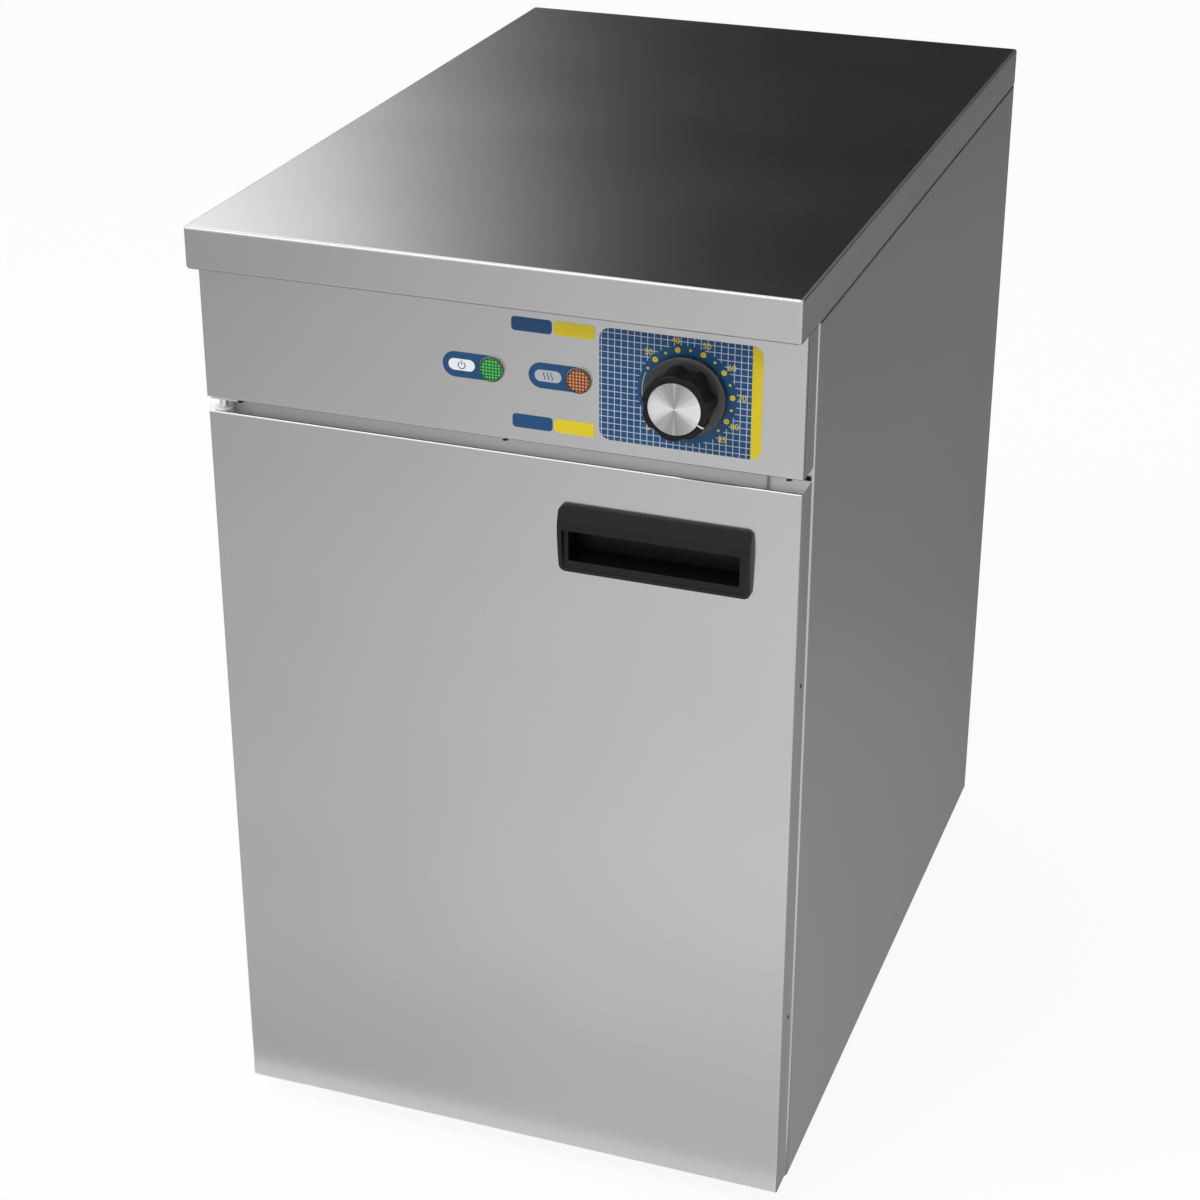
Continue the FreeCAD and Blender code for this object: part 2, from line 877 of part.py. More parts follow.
def safety_cutout():
    """A disc thermostat on the cavity's ceiling cuts the heat if the cabinet runs too hot."""
    base = cavity_top_z + liner_sheet
    disc = rod(cutout_radius, V(0, 0, base), Z_AXIS, cutout_height / 2)
    cap = rod(cutout_cap_radius, V(0, 0, base + cutout_height / 2), Z_AXIS, cutout_height / 2)
    return fuse([disc, cap])


def terminal_block():
    y_back = body_back_y - terminal_from_back
    x = (gland_x - terminal_length / 2, gland_x + terminal_length / 2)
    floor = compartment_z + skin_sheet
    body = block(x, (y_back - terminal_width, y_back), (floor, floor + terminal_height))
    step = terminal_length / (terminal_poles + 1)
    cutters = []
    for pole in range(terminal_poles):
        place = x[0] + (pole + 1) * step
        cutters.append(rod(terminal_screw_radius, V(place, y_back - terminal_width / 2,
                       floor + terminal_height - terminal_screw_depth), Z_AXIS, overrun * 2))
    return cut_all(body, cutters)


def wiring_loom():
    """The bundle of leads runs from the terminal block to the thermostat and lamps."""
    z = compartment_z + skin_sheet + loom_radius
    back = body_back_y - terminal_from_back - terminal_width
    front = thermostat_back_y() + loom_bend * 2
    points = [V(gland_x, back, z), V(gland_x, front, z), V(knob_x - thermostat_width, front, z)]
    return tube(points, loom_radius, loom_bend)


def cable_gland():
    """A cable gland through the back panel, with its bore clear from end to end."""
    face = body_back_y + skin_sheet
    z = gland_z()
    thread = rod(gland_thread_radius, V(gland_x, face - skin_sheet - gland_thread_length, z),
                 Y_AXIS, gland_thread_length + skin_sheet)
    collar = hexagon(gland_hex_radius, V(gland_x, face, z), gland_hex_height)
    dome = rod(gland_dome_radius, V(gland_x, face + gland_hex_height, z), Y_AXIS,
               gland_dome_length)
    dome = dome.makeFillet(gland_dome_round, [edge for edge in dome.Edges
                           if abs(edge.CenterOfMass.y - face - gland_tail) < tolerance])
    bore = rod(gland_bore_radius, V(gland_x, face - skin_sheet - gland_thread_length - overrun, z),
               Y_AXIS, gland_thread_length + skin_sheet + gland_tail + overrun * 2)
    return fuse([thread, collar, dome]).cut(bore)


def gland_nut():
    start = V(gland_x, body_back_y - gland_nut_height, gland_z())
    nut = hexagon(gland_hex_radius, start, gland_nut_height)
    hole = rod(gland_thread_radius, start - Y_AXIS * overrun, Y_AXIS,
               gland_nut_height + overrun * 2)
    return nut.cut(hole)


def control_panel():
    """The control panel is a shallow tray, narrower where it rises inside the worktop's lip."""
    lower = tray([(-panel_half, panel_half), (panel_front_y, panel_back_y),
                  (panel_bottom_z, side_top_z + worktop_lip)], 1, True, skin_sheet, panel_fold)
    keep = block((-worktop_width, worktop_width), (panel_front_y - overrun, panel_back_y + overrun),
                 (panel_bottom_z - overrun, side_top_z))
    lower = lower.common(keep)
    tab_half = worktop_half - worktop_return - panel_tab_clearance
    tab = block((-tab_half, tab_half), (panel_front_y, panel_front_y + skin_sheet),
                (side_top_z, board_bottom_z))
    top = block((-tab_half, tab_half), (panel_front_y, panel_back_y),
                (board_bottom_z - skin_sheet, board_bottom_z))
    through = panel_front_y - overrun
    run = overrun * 2
    cutters = [rod(thermostat_neck_radius, V(knob_x, through, control_z), Y_AXIS, run)]
    for x in (power_lamp_x, heat_lamp_x):
        cutters.append(rod(lamp_barrel_radius, V(x, through, control_z), Y_AXIS, run))
    return cut_all(fuse([lower, tab, top]), cutters)


def panel_brackets():
    """Two folded brackets tie the control panel to the body's front flanges."""
    z = (panel_bottom_z + control_height / 2, panel_bottom_z + control_height / 2 + panel_bracket_height)
    inner = panel_front_y + skin_sheet
    web_x = (-stile_half - skin_sheet * 2, -stile_half - skin_sheet)
    web = block(web_x, (inner, body_front_y), z)
    body_leg = block((web_x[0] - panel_bracket_foot, web_x[1]),
                     (body_front_y - skin_sheet, body_front_y), z)
    panel_leg = block((web_x[0], web_x[1] + panel_bracket_foot), (inner, inner + skin_sheet), z)
    left = fuse([web, body_leg, panel_leg])
    return Part.makeCompound([left, mirrored(left)])


def film(shape_2d_spans, corner):
    """A thin printed film on the panel's face, with rounded corners."""
    x, z = shape_2d_spans
    return rounded_block(x, (panel_front_y - film_thickness, panel_front_y), z, corner, Y_AXIS)


def control_labels():
    """Printed films: the dial's field, two accent strips and a label beside each lamp."""
    half = dial_field_height / 2
    left = knob_x - dial_field_left
    field = film([(left, knob_x + dial_field_right), (control_z - half, control_z + half)],
                 dial_field_corner)
    window = rod(dial_window_radius, V(knob_x, panel_front_y - overrun, control_z), Y_AXIS,
                 overrun * 2)
    films = [field.cut(window)]
    strip_x = (left - accent_gap - accent_length, left - accent_gap)
    for z in ((control_z - half, control_z - half + accent_height),
              (control_z + half - accent_height, control_z + half)):
        films.append(film([strip_x, z], accent_height / 4))
    for x in (power_lamp_x, heat_lamp_x):
        reach = lamp_label_height / 2
        pill = film([(x - lamp_label_length, x + reach), (control_z - reach, control_z + reach)],
                    reach * full_bend_share)
        hole = rod(lamp_bezel_radius, V(x, panel_front_y - overrun, control_z), Y_AXIS,
                   overrun * 2)
        films.append(pill.cut(hole))
    return Part.makeCompound(films)


def lamp_body(x):
    """A lamp's barrel behind the panel, its bezel in front and two tabs at its tail."""
    back = panel_front_y + lamp_barrel_length
    bezel = rod(lamp_bezel_radius, V(x, panel_front_y - lamp_bezel_height, control_z), Y_AXIS,
                lamp_bezel_height)
    barrel = rod(lamp_barrel_radius, V(x, panel_front_y, control_z), Y_AXIS, lamp_barrel_length)
    pieces = [bezel, barrel]
    for side in (-1, 1):
        middle = x + side * lamp_tab_pitch / 2
        pieces.append(block((middle - lamp_tab_sheet / 2, middle + lamp_tab_sheet / 2),
                            (back, back + lamp_tab_length),
                            (control_z - lamp_tab_width / 2, control_z + lamp_tab_width / 2)))
    socket = rod(lamp_plug_radius, V(x, panel_front_y - lamp_bezel_height - overrun, control_z),
                 Y_AXIS, lamp_plug_length + overrun)
    return fuse(pieces).cut(socket)


def lamp_lens(x):
    """The lens plugs into the barrel and stands a little proud of its bezel."""
    seat = panel_front_y - lamp_bezel_height
    head = rod(lamp_lens_radius, V(x, seat - lamp_lens_height, control_z), Y_AXIS,
               lamp_lens_height)
    head = head.makeFillet(lamp_lens_dome, [edge for edge in head.Edges
                           if abs(edge.CenterOfMass.y - seat + lamp_lens_height) < tolerance])
    plug = rod(lamp_plug_radius, V(x, seat, control_z), Y_AXIS, lamp_plug_length)
    return fuse([head, plug])


def lamp_nuts():
    """A push-on ring behind the panel holds each lamp."""
    rings = []
    y = panel_front_y + skin_sheet
    for x in (power_lamp_x, heat_lamp_x):
        ring = rod(lamp_nut_radius, V(x, y, control_z), Y_AXIS, lamp_nut_height)
        hole = rod(lamp_barrel_radius, V(x, y - overrun, control_z), Y_AXIS,
                   lamp_nut_height + overrun * 2)
        rings.append(ring.cut(hole))
    return Part.makeCompound(rings)


def thermostat_back_y():
    return panel_front_y + skin_sheet + thermostat_depth


def thermostat_body():
    """The capillary thermostat stands behind the panel, with a neck through it."""
    face = panel_front_y + skin_sheet
    case = rounded_block((knob_x - thermostat_width / 2, knob_x + thermostat_width / 2),
                         (face, thermostat_back_y()),
                         (control_z - thermostat_height / 2, control_z + thermostat_height / 2),
                         thermostat_neck_height, Y_AXIS)
    neck = rod(thermostat_neck_radius, V(knob_x, face - skin_sheet, control_z), Y_AXIS,
               skin_sheet * 2)
    pieces = [case, neck]
    for side in (-1, 1):
        middle = knob_x + side * thermostat_width / 4
        pieces.append(block((middle - thermostat_tab_sheet / 2, middle + thermostat_tab_sheet / 2),
                            (thermostat_back_y(), thermostat_back_y() + thermostat_tab_length),
                            (control_z, control_z + thermostat_tab_width)))
    bore = rod(shaft_radius + shaft_clearance, V(knob_x, face - overrun, control_z), Y_AXIS,
               overrun + shaft_engagement + seat_clearance)
    return fuse(pieces).cut(bore)


def d_shaft(radius, start_y, end_y):
    """A round shaft along Y with one flat, turned to the knob's pointer."""
    shaft = rod(radius, V(knob_x, start_y, control_z), Y_AXIS, end_y - start_y)
    flat = block((knob_x - radius * 2, knob_x + radius * 2), (start_y, end_y),
                 (control_z + radius * shaft_flat_share, control_z + radius * 2))
    flat.rotate(V(knob_x, 0, control_z), Y_AXIS, knob_pointer_angle)
    return shaft.cut(flat)


def thermostat_shaft():
    """The shaft is round inside the thermostat and flatted inside the knob."""
    flat_end = knob_front_y() + knob_length - knob_bore_depth
    neck = panel_front_y - knob_gap
    inside = panel_front_y + skin_sheet + shaft_engagement
    return fuse([rod(shaft_radius, V(knob_x, neck, control_z), Y_AXIS, inside - neck),
                 d_shaft(shaft_radius, flat_end, neck)])


def knob_front_y():
    return panel_front_y - knob_gap - knob_length


def knob():
    """A black fluted knob on a round skirt, with a seat for its cap."""
    front = knob_front_y()
    back = front + knob_length
    skirt = rod(knob_skirt_radius, V(knob_x, back - knob_skirt_height, control_z), Y_AXIS,
                knob_skirt_height)
    skirt = skirt.makeFillet(knob_front_round, [edge for edge in skirt.Edges
                             if abs(edge.CenterOfMass.y - back + knob_skirt_height) < tolerance])
    body = rod(knob_body_radius, V(knob_x, front, control_z), Y_AXIS, knob_length)
    body = body.makeFillet(knob_front_round, [edge for edge in body.Edges
                           if abs(edge.CenterOfMass.y - front) < tolerance])
    flutes = []
    reach = knob_body_radius - knob_flute_depth + knob_flute_radius
    lean = knob_flute_depth / 2
    for number in range(knob_lobes):
        turn = knob_pointer_angle + (number + 0.5) * 360 / knob_lobes
        across = V(math.sin(math.radians(turn)), 0, math.cos(math.radians(turn)))
        start = V(knob_x, front - overrun, control_z) + across * (reach + lean)
        end = V(knob_x, back - knob_skirt_height, control_z) + across * reach
        run = end - start
        flutes.append(rod(knob_flute_radius, start, run, run.Length))
    body = body.cut(Part.makeCompound(flutes))
    seat = rod(knob_cap_radius, V(knob_x, front - overrun, control_z), Y_AXIS,
               overrun + knob_cap_height)
    hole = d_shaft(shaft_radius, back - knob_bore_depth, back + overrun)
    return fuse([skirt, body]).cut(Part.makeCompound([seat, hole]))


def knob_cap():
    """A thin spun aluminium disc set into the knob's face."""
    return rod(knob_cap_radius, V(knob_x, knob_front_y(), control_z), Y_AXIS, knob_cap_height)


def thermostat_capillary():
    """The capillary tube ends in a sensing bulb under the cavity's ceiling."""
    route = capillary_route()
    line = tube(route, capillary_radius, capillary_bend)
    end = route[-1]
    bulb = rod(bulb_radius, end, V(-1, 0, 0), bulb_length)
    return fuse([line, bulb])


def bulb_clips():
    """Two clips hang the bulb from the cavity's ceiling."""
    end = capillary_route()[-1]
    solids = []
    for share in bulb_clip_shares:
        x = end.x - bulb_length * share
        reach = bulb_radius + bulb_clip_wall
        clip = block((x - bulb_clip_width / 2, x + bulb_clip_width / 2),
                     (end.y - reach, end.y + reach), (end.z - reach, cavity_top_z))
        hole = rod(bulb_radius, V(x - bulb_clip_width, end.y, end.z), X_AXIS, bulb_clip_width * 2)
        solids.append(clip.cut(hole))
    return Part.makeCompound(solids)


def door_outer():
    """The door's front is a folded tray with a window for the handle."""
    shell = tray([(-door_half, door_half), (door_front_y, door_back_y),
                  (door_bottom_z, door_top_z)], 1, True, skin_sheet, door_fold)
    wall = handle_pocket_wall
    window = block((handle_x - window_half - wall, handle_x + window_half + wall),
                   (door_front_y - overrun, door_front_y + overrun),
                   (window_bottom_z - wall, window_top_z + handle_pocket_rise + wall))
    cutters = [window]
    top_hole_y = door_back_y - door_top_hole_inset
    for x in (door_top_hole_margin - door_half, 0, door_half - door_top_hole_margin):
        cutters.append(rod(door_top_hole_radius, V(x, top_hole_y, door_top_z - overrun / 2),
                           Z_AXIS, overrun))
    middle = (door_top_z + door_bottom_z) / 2
    for side in (-1, 1):
        z = middle + side * door_side_hole_pitch / 2
        cutters.append(rod(door_side_hole_radius, V(door_half - overrun / 2,
                       door_back_y - door_side_hole_inset, z), X_AXIS, overrun))
    for z in (door_top_z, door_bottom_z):
        cutters.append(rod(hinge_bush_radius, V(hinge_x, hinge_y, z - overrun / 2), Z_AXIS,
                           overrun))
    return cut_all(shell, cutters)


def door_inner():
    """The door's back is a flat sheet inside the flanges of its front."""
    margin = skin_sheet + slide_clearance
    return block((margin - door_half, door_half - margin), (door_back_y - skin_sheet, door_back_y),
                 (door_bottom_z + margin, door_top_z - margin))


def door_insulation():
    """The pad inside the door is cut round the handle's pocket and clear of the hinges."""
    x = (door_hinge_keepout - door_half, door_half - skin_sheet - door_pad_margin)
    z = (door_bottom_z + skin_sheet + door_pad_margin, door_top_z - skin_sheet - door_pad_margin)
    pad = block(x, (door_front_y + skin_sheet, door_back_y - skin_sheet), z)
    wall = handle_pocket_wall
    pocket = block((handle_x - window_half - wall, handle_x + window_half + wall),
                   (door_front_y, pocket_back_y + wall),
                   (window_bottom_z - wall, window_top_z + handle_pocket_rise + wall))
    return pad.cut(pocket)


def door_handle():
    """A moulded pull: a frame on the door's face, a hood over its window and a pocket behind."""
    x = (handle_x - handle_width / 2, handle_x + handle_width / 2)
    lip = door_front_y - handle_hood_lip
    outline = [V(0, door_front_y, handle_top_z),
               V(0, door_front_y - handle_hood_top, handle_top_z),
               V(0, lip, window_top_z + handle_edge_round),
               V(0, lip, window_top_z),
               V(0, door_front_y - handle_frame, window_top_z - handle_edge_round),
               V(0, door_front_y - handle_frame, handle_bottom_z),
               V(0, door_front_y, handle_bottom_z)]
    bezel = prism(outline, V(x[0], 0, 0), X_AXIS * handle_width)
    frame = rounded_block(x, (lip - overrun, door_front_y + overrun),
                          (handle_bottom_z, handle_top_z), handle_corner, Y_AXIS)
    bezel = bezel.common(frame)
    wall = handle_pocket_wall
    pocket_x = (handle_x - window_half, handle_x + window_half)
    pocket_z = (window_bottom_z, window_top_z + handle_pocket_rise)
    shell = block((pocket_x[0] - wall, pocket_x[1] + wall), (door_front_y, pocket_back_y + wall),
                  (pocket_z[0] - wall, pocket_z[1] + wall))
    hollow = block(pocket_x, (door_front_y - handle_hood_top + wall, pocket_back_y), pocket_z)
    mouth = block(pocket_x, (lip - overrun, pocket_back_y), (window_bottom_z, window_top_z))
    return fuse([bezel, shell]).cut(fuse([hollow, mouth]))


def door_seal():
    """Four strips of rubber round the cavity's mouth, set on the door's back."""
    inner_x = cavity_half + seal_margin
    outer_x = inner_x + seal_width
    inner_z = (cavity_bottom_z - seal_margin, cavity_top_z + seal_margin)
    y = (door_back_y, body_front_y - seal_squeeze_gap)
    left = block((-outer_x, -inner_x), y, (inner_z[0] - seal_width, inner_z[1] + seal_width))
    top = block((-inner_x, inner_x), y, (inner_z[1], inner_z[1] + seal_width))
    bottom = block((-inner_x, inner_x), y, (inner_z[0] - seal_width, inner_z[0]))
    return Part.makeCompound([left, mirrored(left), top, bottom])


def catch_span():
    middle = (cavity_top_z + cavity_bottom_z) / 2
    x = (side_half - catch_inset - catch_width, side_half - catch_inset)
    return x, (middle - catch_length / 2, middle + catch_length / 2)


def magnetic_catch():
    """A strip magnet on the body's front flange, on the handle side."""
    x, z = catch_span()
    return block(x, (body_front_y - catch_thickness, body_front_y), z)


def strike_plate():
    x, z = catch_span()
    return block(x, (door_back_y, door_back_y + strike_thickness), z)


def hinge_plate_front():
    """The front edge of both hinge plates, just clear of the pin's hole."""
    return hinge_y - hinge_pin_radius - hinge_eye_wall


def upper_hinge_plate_z():
    """The underside of the upper hinge plate, which sits close under the control panel."""
    return panel_bottom_z - hinge_plate_clearance - bracket_sheet


def hinge_bracket_top():
    """An angle on the body's front flange reaches over the door's top."""
    x = (hinge_plate_margin - side_half, hinge_plate_margin - side_half + hinge_plate_width)
    z = upper_hinge_plate_z()
    plate = block(x, (hinge_plate_front(), body_front_y), (z, z + bracket_sheet))
    leg = block(x, (body_front_y - bracket_sheet, body_front_y), (z, z + hinge_leg_height))
    hole = rod(hinge_pin_radius, V(hinge_x, hinge_y, z - overrun), Z_AXIS, overrun * 3)
    return fuse([plate, leg]).cut(hole)


def hinge_plate_z():
    """The underside of the lower hinge plate."""
    return side_bottom_z + hinge_plate_lift


def hinge_bracket_bottom():
    """An angle on the bottom rail reaches under the door, with its leg clear of the swing."""
    z = hinge_plate_z()
    left = hinge_plate_margin - side_half
    right = left + hinge_foot_start + hinge_foot_width
    plate = block((left, right), (hinge_plate_front(), body_front_y), (z, z + bracket_sheet))
    leg = block((left + hinge_foot_start, right), (body_front_y - bracket_sheet, body_front_y),
                (z, z + hinge_foot_height))
    hole = rod(hinge_pin_radius, V(hinge_x, hinge_y, z - overrun), Z_AXIS, overrun * 3)
    return fuse([plate, leg]).cut(hole)


def hinge_pins():
    """Each pin is riveted flush in its bracket and reaches into the door."""
    spans = ((door_top_z - hinge_pin_reach, upper_hinge_plate_z() + bracket_sheet),
             (hinge_plate_z(), door_bottom_z + hinge_pin_reach))
    return Part.makeCompound([rod(hinge_pin_radius, V(hinge_x, hinge_y, low), Z_AXIS, high - low)
                              for low, high in spans])


def hinge_bushes():
    """A flanged bush in the door's top and bottom turns on each pin."""
    solids = []
    for face_z, way in ((door_top_z, -1), (door_bottom_z, 1)):
        axis = Z_AXIS * way
        face = V(hinge_x, hinge_y, face_z)
        flange = rod(hinge_bush_flange_radius, face - axis * hinge_bush_flange, axis,
                     hinge_bush_flange)
        sleeve = rod(hinge_bush_radius, face, axis, hinge_bush_length)
        bore = rod(hinge_pin_radius + hinge_running_clearance, face - axis * overrun, axis,
                   overrun + hinge_bush_length - skin_sheet)
        solids.append(fuse([flange, sleeve]).cut(bore))
    return Part.makeCompound(solids)


def feet():
    """Four rubber feet under the base, each with a recess for its bolt's head."""
    solids = []
    for x, y in foot_places():
        foot = Part.makeCone(foot_radius - foot_taper, foot_radius, base_z, V(x, y, 0), Z_AXIS)
        recess = rod(foot_recess_radius, V(x, y, 0), Z_AXIS, foot_recess_depth)
        hole = rod(bolt_radius, V(x, y, 0), Z_AXIS, base_z)
        solids.append(foot.cut(fuse([recess, hole])))
    return Part.makeCompound(solids)


def foot_bolts():
    """A bolt and nut hold each foot to the base."""
    solids = []
    for x, y in foot_places():
        head_z = foot_recess_depth - bolt_head_height
        nut_z = base_z + skin_sheet
        head = rod(bolt_head_radius, V(x, y, head_z), Z_AXIS, bolt_head_height)
        shank = rod(bolt_radius, V(x, y, foot_recess_depth), Z_AXIS,
                    nut_z + bolt_nut_height - foot_recess_depth)
        nut = rod(bolt_head_radius, V(x, y, nut_z), Z_AXIS, bolt_nut_height)
        solids.append(fuse([head, shank, nut]))
    return Part.makeCompound(solids)


def back_panel_screws():
    """Pan-head screws through the back panel into the side panels' rear flanges."""
    face = body_back_y + skin_sheet
    solids = []
    for x, z in back_screw_places():
        head = rod(screw_head_radius, V(x, face, z), Y_AXIS, screw_head_height)
        head = head.makeFillet(screw_head_round, [edge for edge in head.Edges
                               if abs(edge.CenterOfMass.y - face - screw_head_height) < tolerance])
        shank = rod(screw_radius, V(x, face - screw_length, z), Y_AXIS, screw_length)
        solids.append(fuse([head, shank]))
    return Part.makeCompound(solids)


save("worktop", worktop())
save("worktop_board", worktop_board())
save("worktop_gasket", worktop_gasket())
save("side_panel_left", side_panel(True))
save("side_panel_right", side_panel(False))
save("front_top_rail", front_top_rail())
save("front_bottom_rail", front_bottom_rail())
save("rear_top_rail", rear_top_rail())
save("base_panel", base_panel())
save("back_panel", back_panel())
save("compartment_floor", compartment_floor())
save("liner_left", liner_side(True))
save("liner_right", liner_side(False))
save("liner_back", liner_back())
save("liner_ceiling", liner_ceiling())
save("liner_floor", liner_floor())
save("insulation_sides", insulation_sides())
save("insulation_back", insulation_back())
save("insulation_top", insulation_top())
save("insulation_bottom", insulation_bottom())
save("shelf_runners", shelf_runners())
save("wire_shelf_lower", wire_shelf(lower_shelf_z))
save("wire_shelf_upper", wire_shelf(upper_shelf_z))
save("element_guard", element_guard())
save("heating_elements", heating_elements())
save("element_flanges", element_flanges())
save("element_clips", element_clips())
save("safety_cutout", safety_cutout())
save("terminal_block", terminal_block())
save("wiring_loom", wiring_loom())
save("cable_gland", cable_gland())
save("gland_nut", gland_nut())
save("control_panel", control_panel())
save("panel_brackets", panel_brackets())
save("control_labels", control_labels())
save("power_lamp_body", lamp_body(power_lamp_x))
save("power_lamp_lens", lamp_lens(power_lamp_x))
save("heat_lamp_body", lamp_body(heat_lamp_x))
save("heat_lamp_lens", lamp_lens(heat_lamp_x))
save("lamp_nuts", lamp_nuts())
save("thermostat_body", thermostat_body())
save("thermostat_shaft", thermostat_shaft())
save("thermostat_capillary", thermostat_capillary())
save("bulb_clips", bulb_clips())
save("knob", knob())
save("knob_cap", knob_cap())
save("door_outer", door_outer())
save("door_inner", door_inner())
save("door_insulation", door_insulation())
save("door_handle", door_handle())
save("door_seal", door_seal())
save("magnetic_catch", magnetic_catch())
save("strike_plate", strike_plate())
save("hinge_bracket_top", hinge_bracket_top())
save("hinge_bracket_bottom", hinge_bracket_bottom())
save("hinge_pins", hinge_pins())
save("hinge_bushes", hinge_bushes())
save("feet", feet())
save("foot_bolts", foot_bolts())
save("back_panel_screws", back_panel_screws())
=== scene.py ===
"""Looks of the plate warmer cabinet: the finish of its sheet metal and inner parts, and its
detailed controls, labels, pull, seal, feet, gland and screws, in a plain pale studio.

Metres, +Z up. X runs from the hinge side to the handle side, and Y from the front to the back.
"""
import math

import bmesh
import bpy
from bmesh.types import BMEdge, BMFace, BMVert
from mathutils import Matrix, Vector

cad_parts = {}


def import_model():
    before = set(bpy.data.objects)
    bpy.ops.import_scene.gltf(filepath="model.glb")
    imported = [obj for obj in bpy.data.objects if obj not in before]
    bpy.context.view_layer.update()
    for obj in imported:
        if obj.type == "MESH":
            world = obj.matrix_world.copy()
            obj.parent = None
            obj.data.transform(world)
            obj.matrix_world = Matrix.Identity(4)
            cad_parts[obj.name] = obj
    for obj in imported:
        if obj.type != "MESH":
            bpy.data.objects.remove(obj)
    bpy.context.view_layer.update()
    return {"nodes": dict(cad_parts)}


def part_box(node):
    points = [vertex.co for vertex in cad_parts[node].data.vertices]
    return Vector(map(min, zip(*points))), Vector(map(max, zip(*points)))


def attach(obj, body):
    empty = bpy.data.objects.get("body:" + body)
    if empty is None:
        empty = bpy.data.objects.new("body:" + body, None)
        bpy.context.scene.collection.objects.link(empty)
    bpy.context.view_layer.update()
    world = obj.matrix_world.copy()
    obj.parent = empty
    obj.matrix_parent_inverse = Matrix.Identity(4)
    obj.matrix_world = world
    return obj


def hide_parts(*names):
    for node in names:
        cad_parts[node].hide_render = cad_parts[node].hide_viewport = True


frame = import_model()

MM = 0.001
X_AXIS = Vector((1, 0, 0))
Y_AXIS = Vector((0, 1, 0))
Z_AXIS = Vector((0, 0, 1))
FORWARD = -Y_AXIS
# Turns what is made facing up so that it faces the front
UPRIGHT = Matrix.Rotation(math.radians(90), 4, "X")


def middle_of(node):
    low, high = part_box(node)
    return (low + high) / 2


# Places read from the frame
panel_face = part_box("control_panel")[0].y
door_low, door_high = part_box("door_outer")
knob_axis = middle_of("knob_cap")
knob_low, knob_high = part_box("knob")
power_lamp = middle_of("power_lamp_lens")
heat_lamp = middle_of("heat_lamp_lens")
control_z = knob_axis.z
knob_back = Vector((knob_axis.x, knob_high.y, control_z))

# Knob
knob_lobes = 7
lobe_steps = 24
knob_pointer_angle = math.radians(118.4)
skirt_radius = 25.5 * MM
skirt_height = 5.0 * MM
knob_radius = 21.0 * MM
flute_radius = 11.0 * MM
flute_depth_base = 3.0 * MM
flute_depth_face = 1.5 * MM
cap_radius = 16.6 * MM
cap_seat_depth = 1.2 * MM
cap_edge = 0.35 * MM
pointer_width = 0.8 * MM
pointer_proud = 0.06 * MM

# Dial print, with angles clockwise from the top
film = 0.2 * MM
ink = 0.05 * MM
field_left = 70.0 * MM
field_right = 173.0 * MM
field_half_height = 36.35 * MM
field_corner = 7.0 * MM
field_edge_band = 6.5 * MM
lattice_pitch = 4.2 * MM
lattice_line = 0.5 * MM
plain_disc_radius = 31.4 * MM
dot_circle = 28.6 * MM
numeral_circle = 34.6 * MM
numeral_size = 5.4 * MM
numeral_weight = 0.03 * MM
dial_numbers = {"0": -135, "30": -45.4, "40": -12.6, "50": 20.2, "60": 53.4, "70": 86.4,
                "80": 118.9, "85": 139}
big_dots = (-45.4, -12.6, 20.2, 53.4, 86.4, 118.9)
small_dots = (-60.7, -28.9, 3.6, 36.8, 70, 102.8, 135.3)
big_dot_radius = 1.75 * MM
dot_centre_radius = 0.62 * MM
small_dot_radius = 0.85 * MM
scale_arc_radii = (28.3 * MM, 28.65 * MM)
scale_arc_angles = (-128, -67)

# Lamp labels and accent strips
pill_length = 33.0 * MM
pill_radius = 8.35 * MM
capsule_left = -29.0 * MM
capsule_right = -11.5 * MM
capsule_radius = 3.8 * MM
mark_line = 0.6 * MM
strip_left = 13.0 * MM
strip_right = 67.0 * MM
strip_height = 9.0 * MM
strip_corner = 2.25 * MM
strip_gap = 1.2 * MM

# Lamps
bezel_height = 0.9 * MM
cup_radius = 8.15 * MM
lens_radius = 7.4 * MM
lens_height = 2.35 * MM
plug_radius = 4.5 * MM
plug_depth = 4.0 * MM
prism_base = 1.65 * MM
prism_pitch = 2.1 * MM
prism_height = 0.55 * MM

# Handle
handle_low, handle_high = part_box("door_handle")
handle_low += Vector((1.2, 0, 0)) * MM
handle_high -= Vector((0.6, 0, 1.5)) * MM
handle_corner = 4.5 * MM
handle_rim = 3.0 * MM
rim_softening = 0.9 * MM
window_left = 6.4 * MM
window_right = 7.0 * MM
window_bottom = 8.2 * MM
hood_height = 15.7 * MM
hood_top_proud = 3.0 * MM
hood_lip_proud = 6.8 * MM
border_proud = 3.3 * MM
pocket_depth = 17.0 * MM
pocket_wall = 1.5 * MM
pocket_rise = 10.0 * MM


def linear(code):
    """A colour written as sRGB hex, as linear red, green, blue and alpha."""
    parts = []
    for start in (1, 3, 5):
        value = int(code[start:start + 2], 16) / 255
        parts.append(value / 12.92 if value <= 0.04045 else ((value + 0.055) / 1.055) ** 2.4)
    return (*parts, 1.0)


# Materials

METAL = {"Metallic": 1.0}
BRUSHED = {"Metallic": 1.0, "Anisotropic": 0.8}
ACRYLIC = {"IOR": 1.49}
FILM = {"Specular IOR Level": 0.25}
# Where most values of a noise lie
noise_low = 0.3
noise_high = 0.7


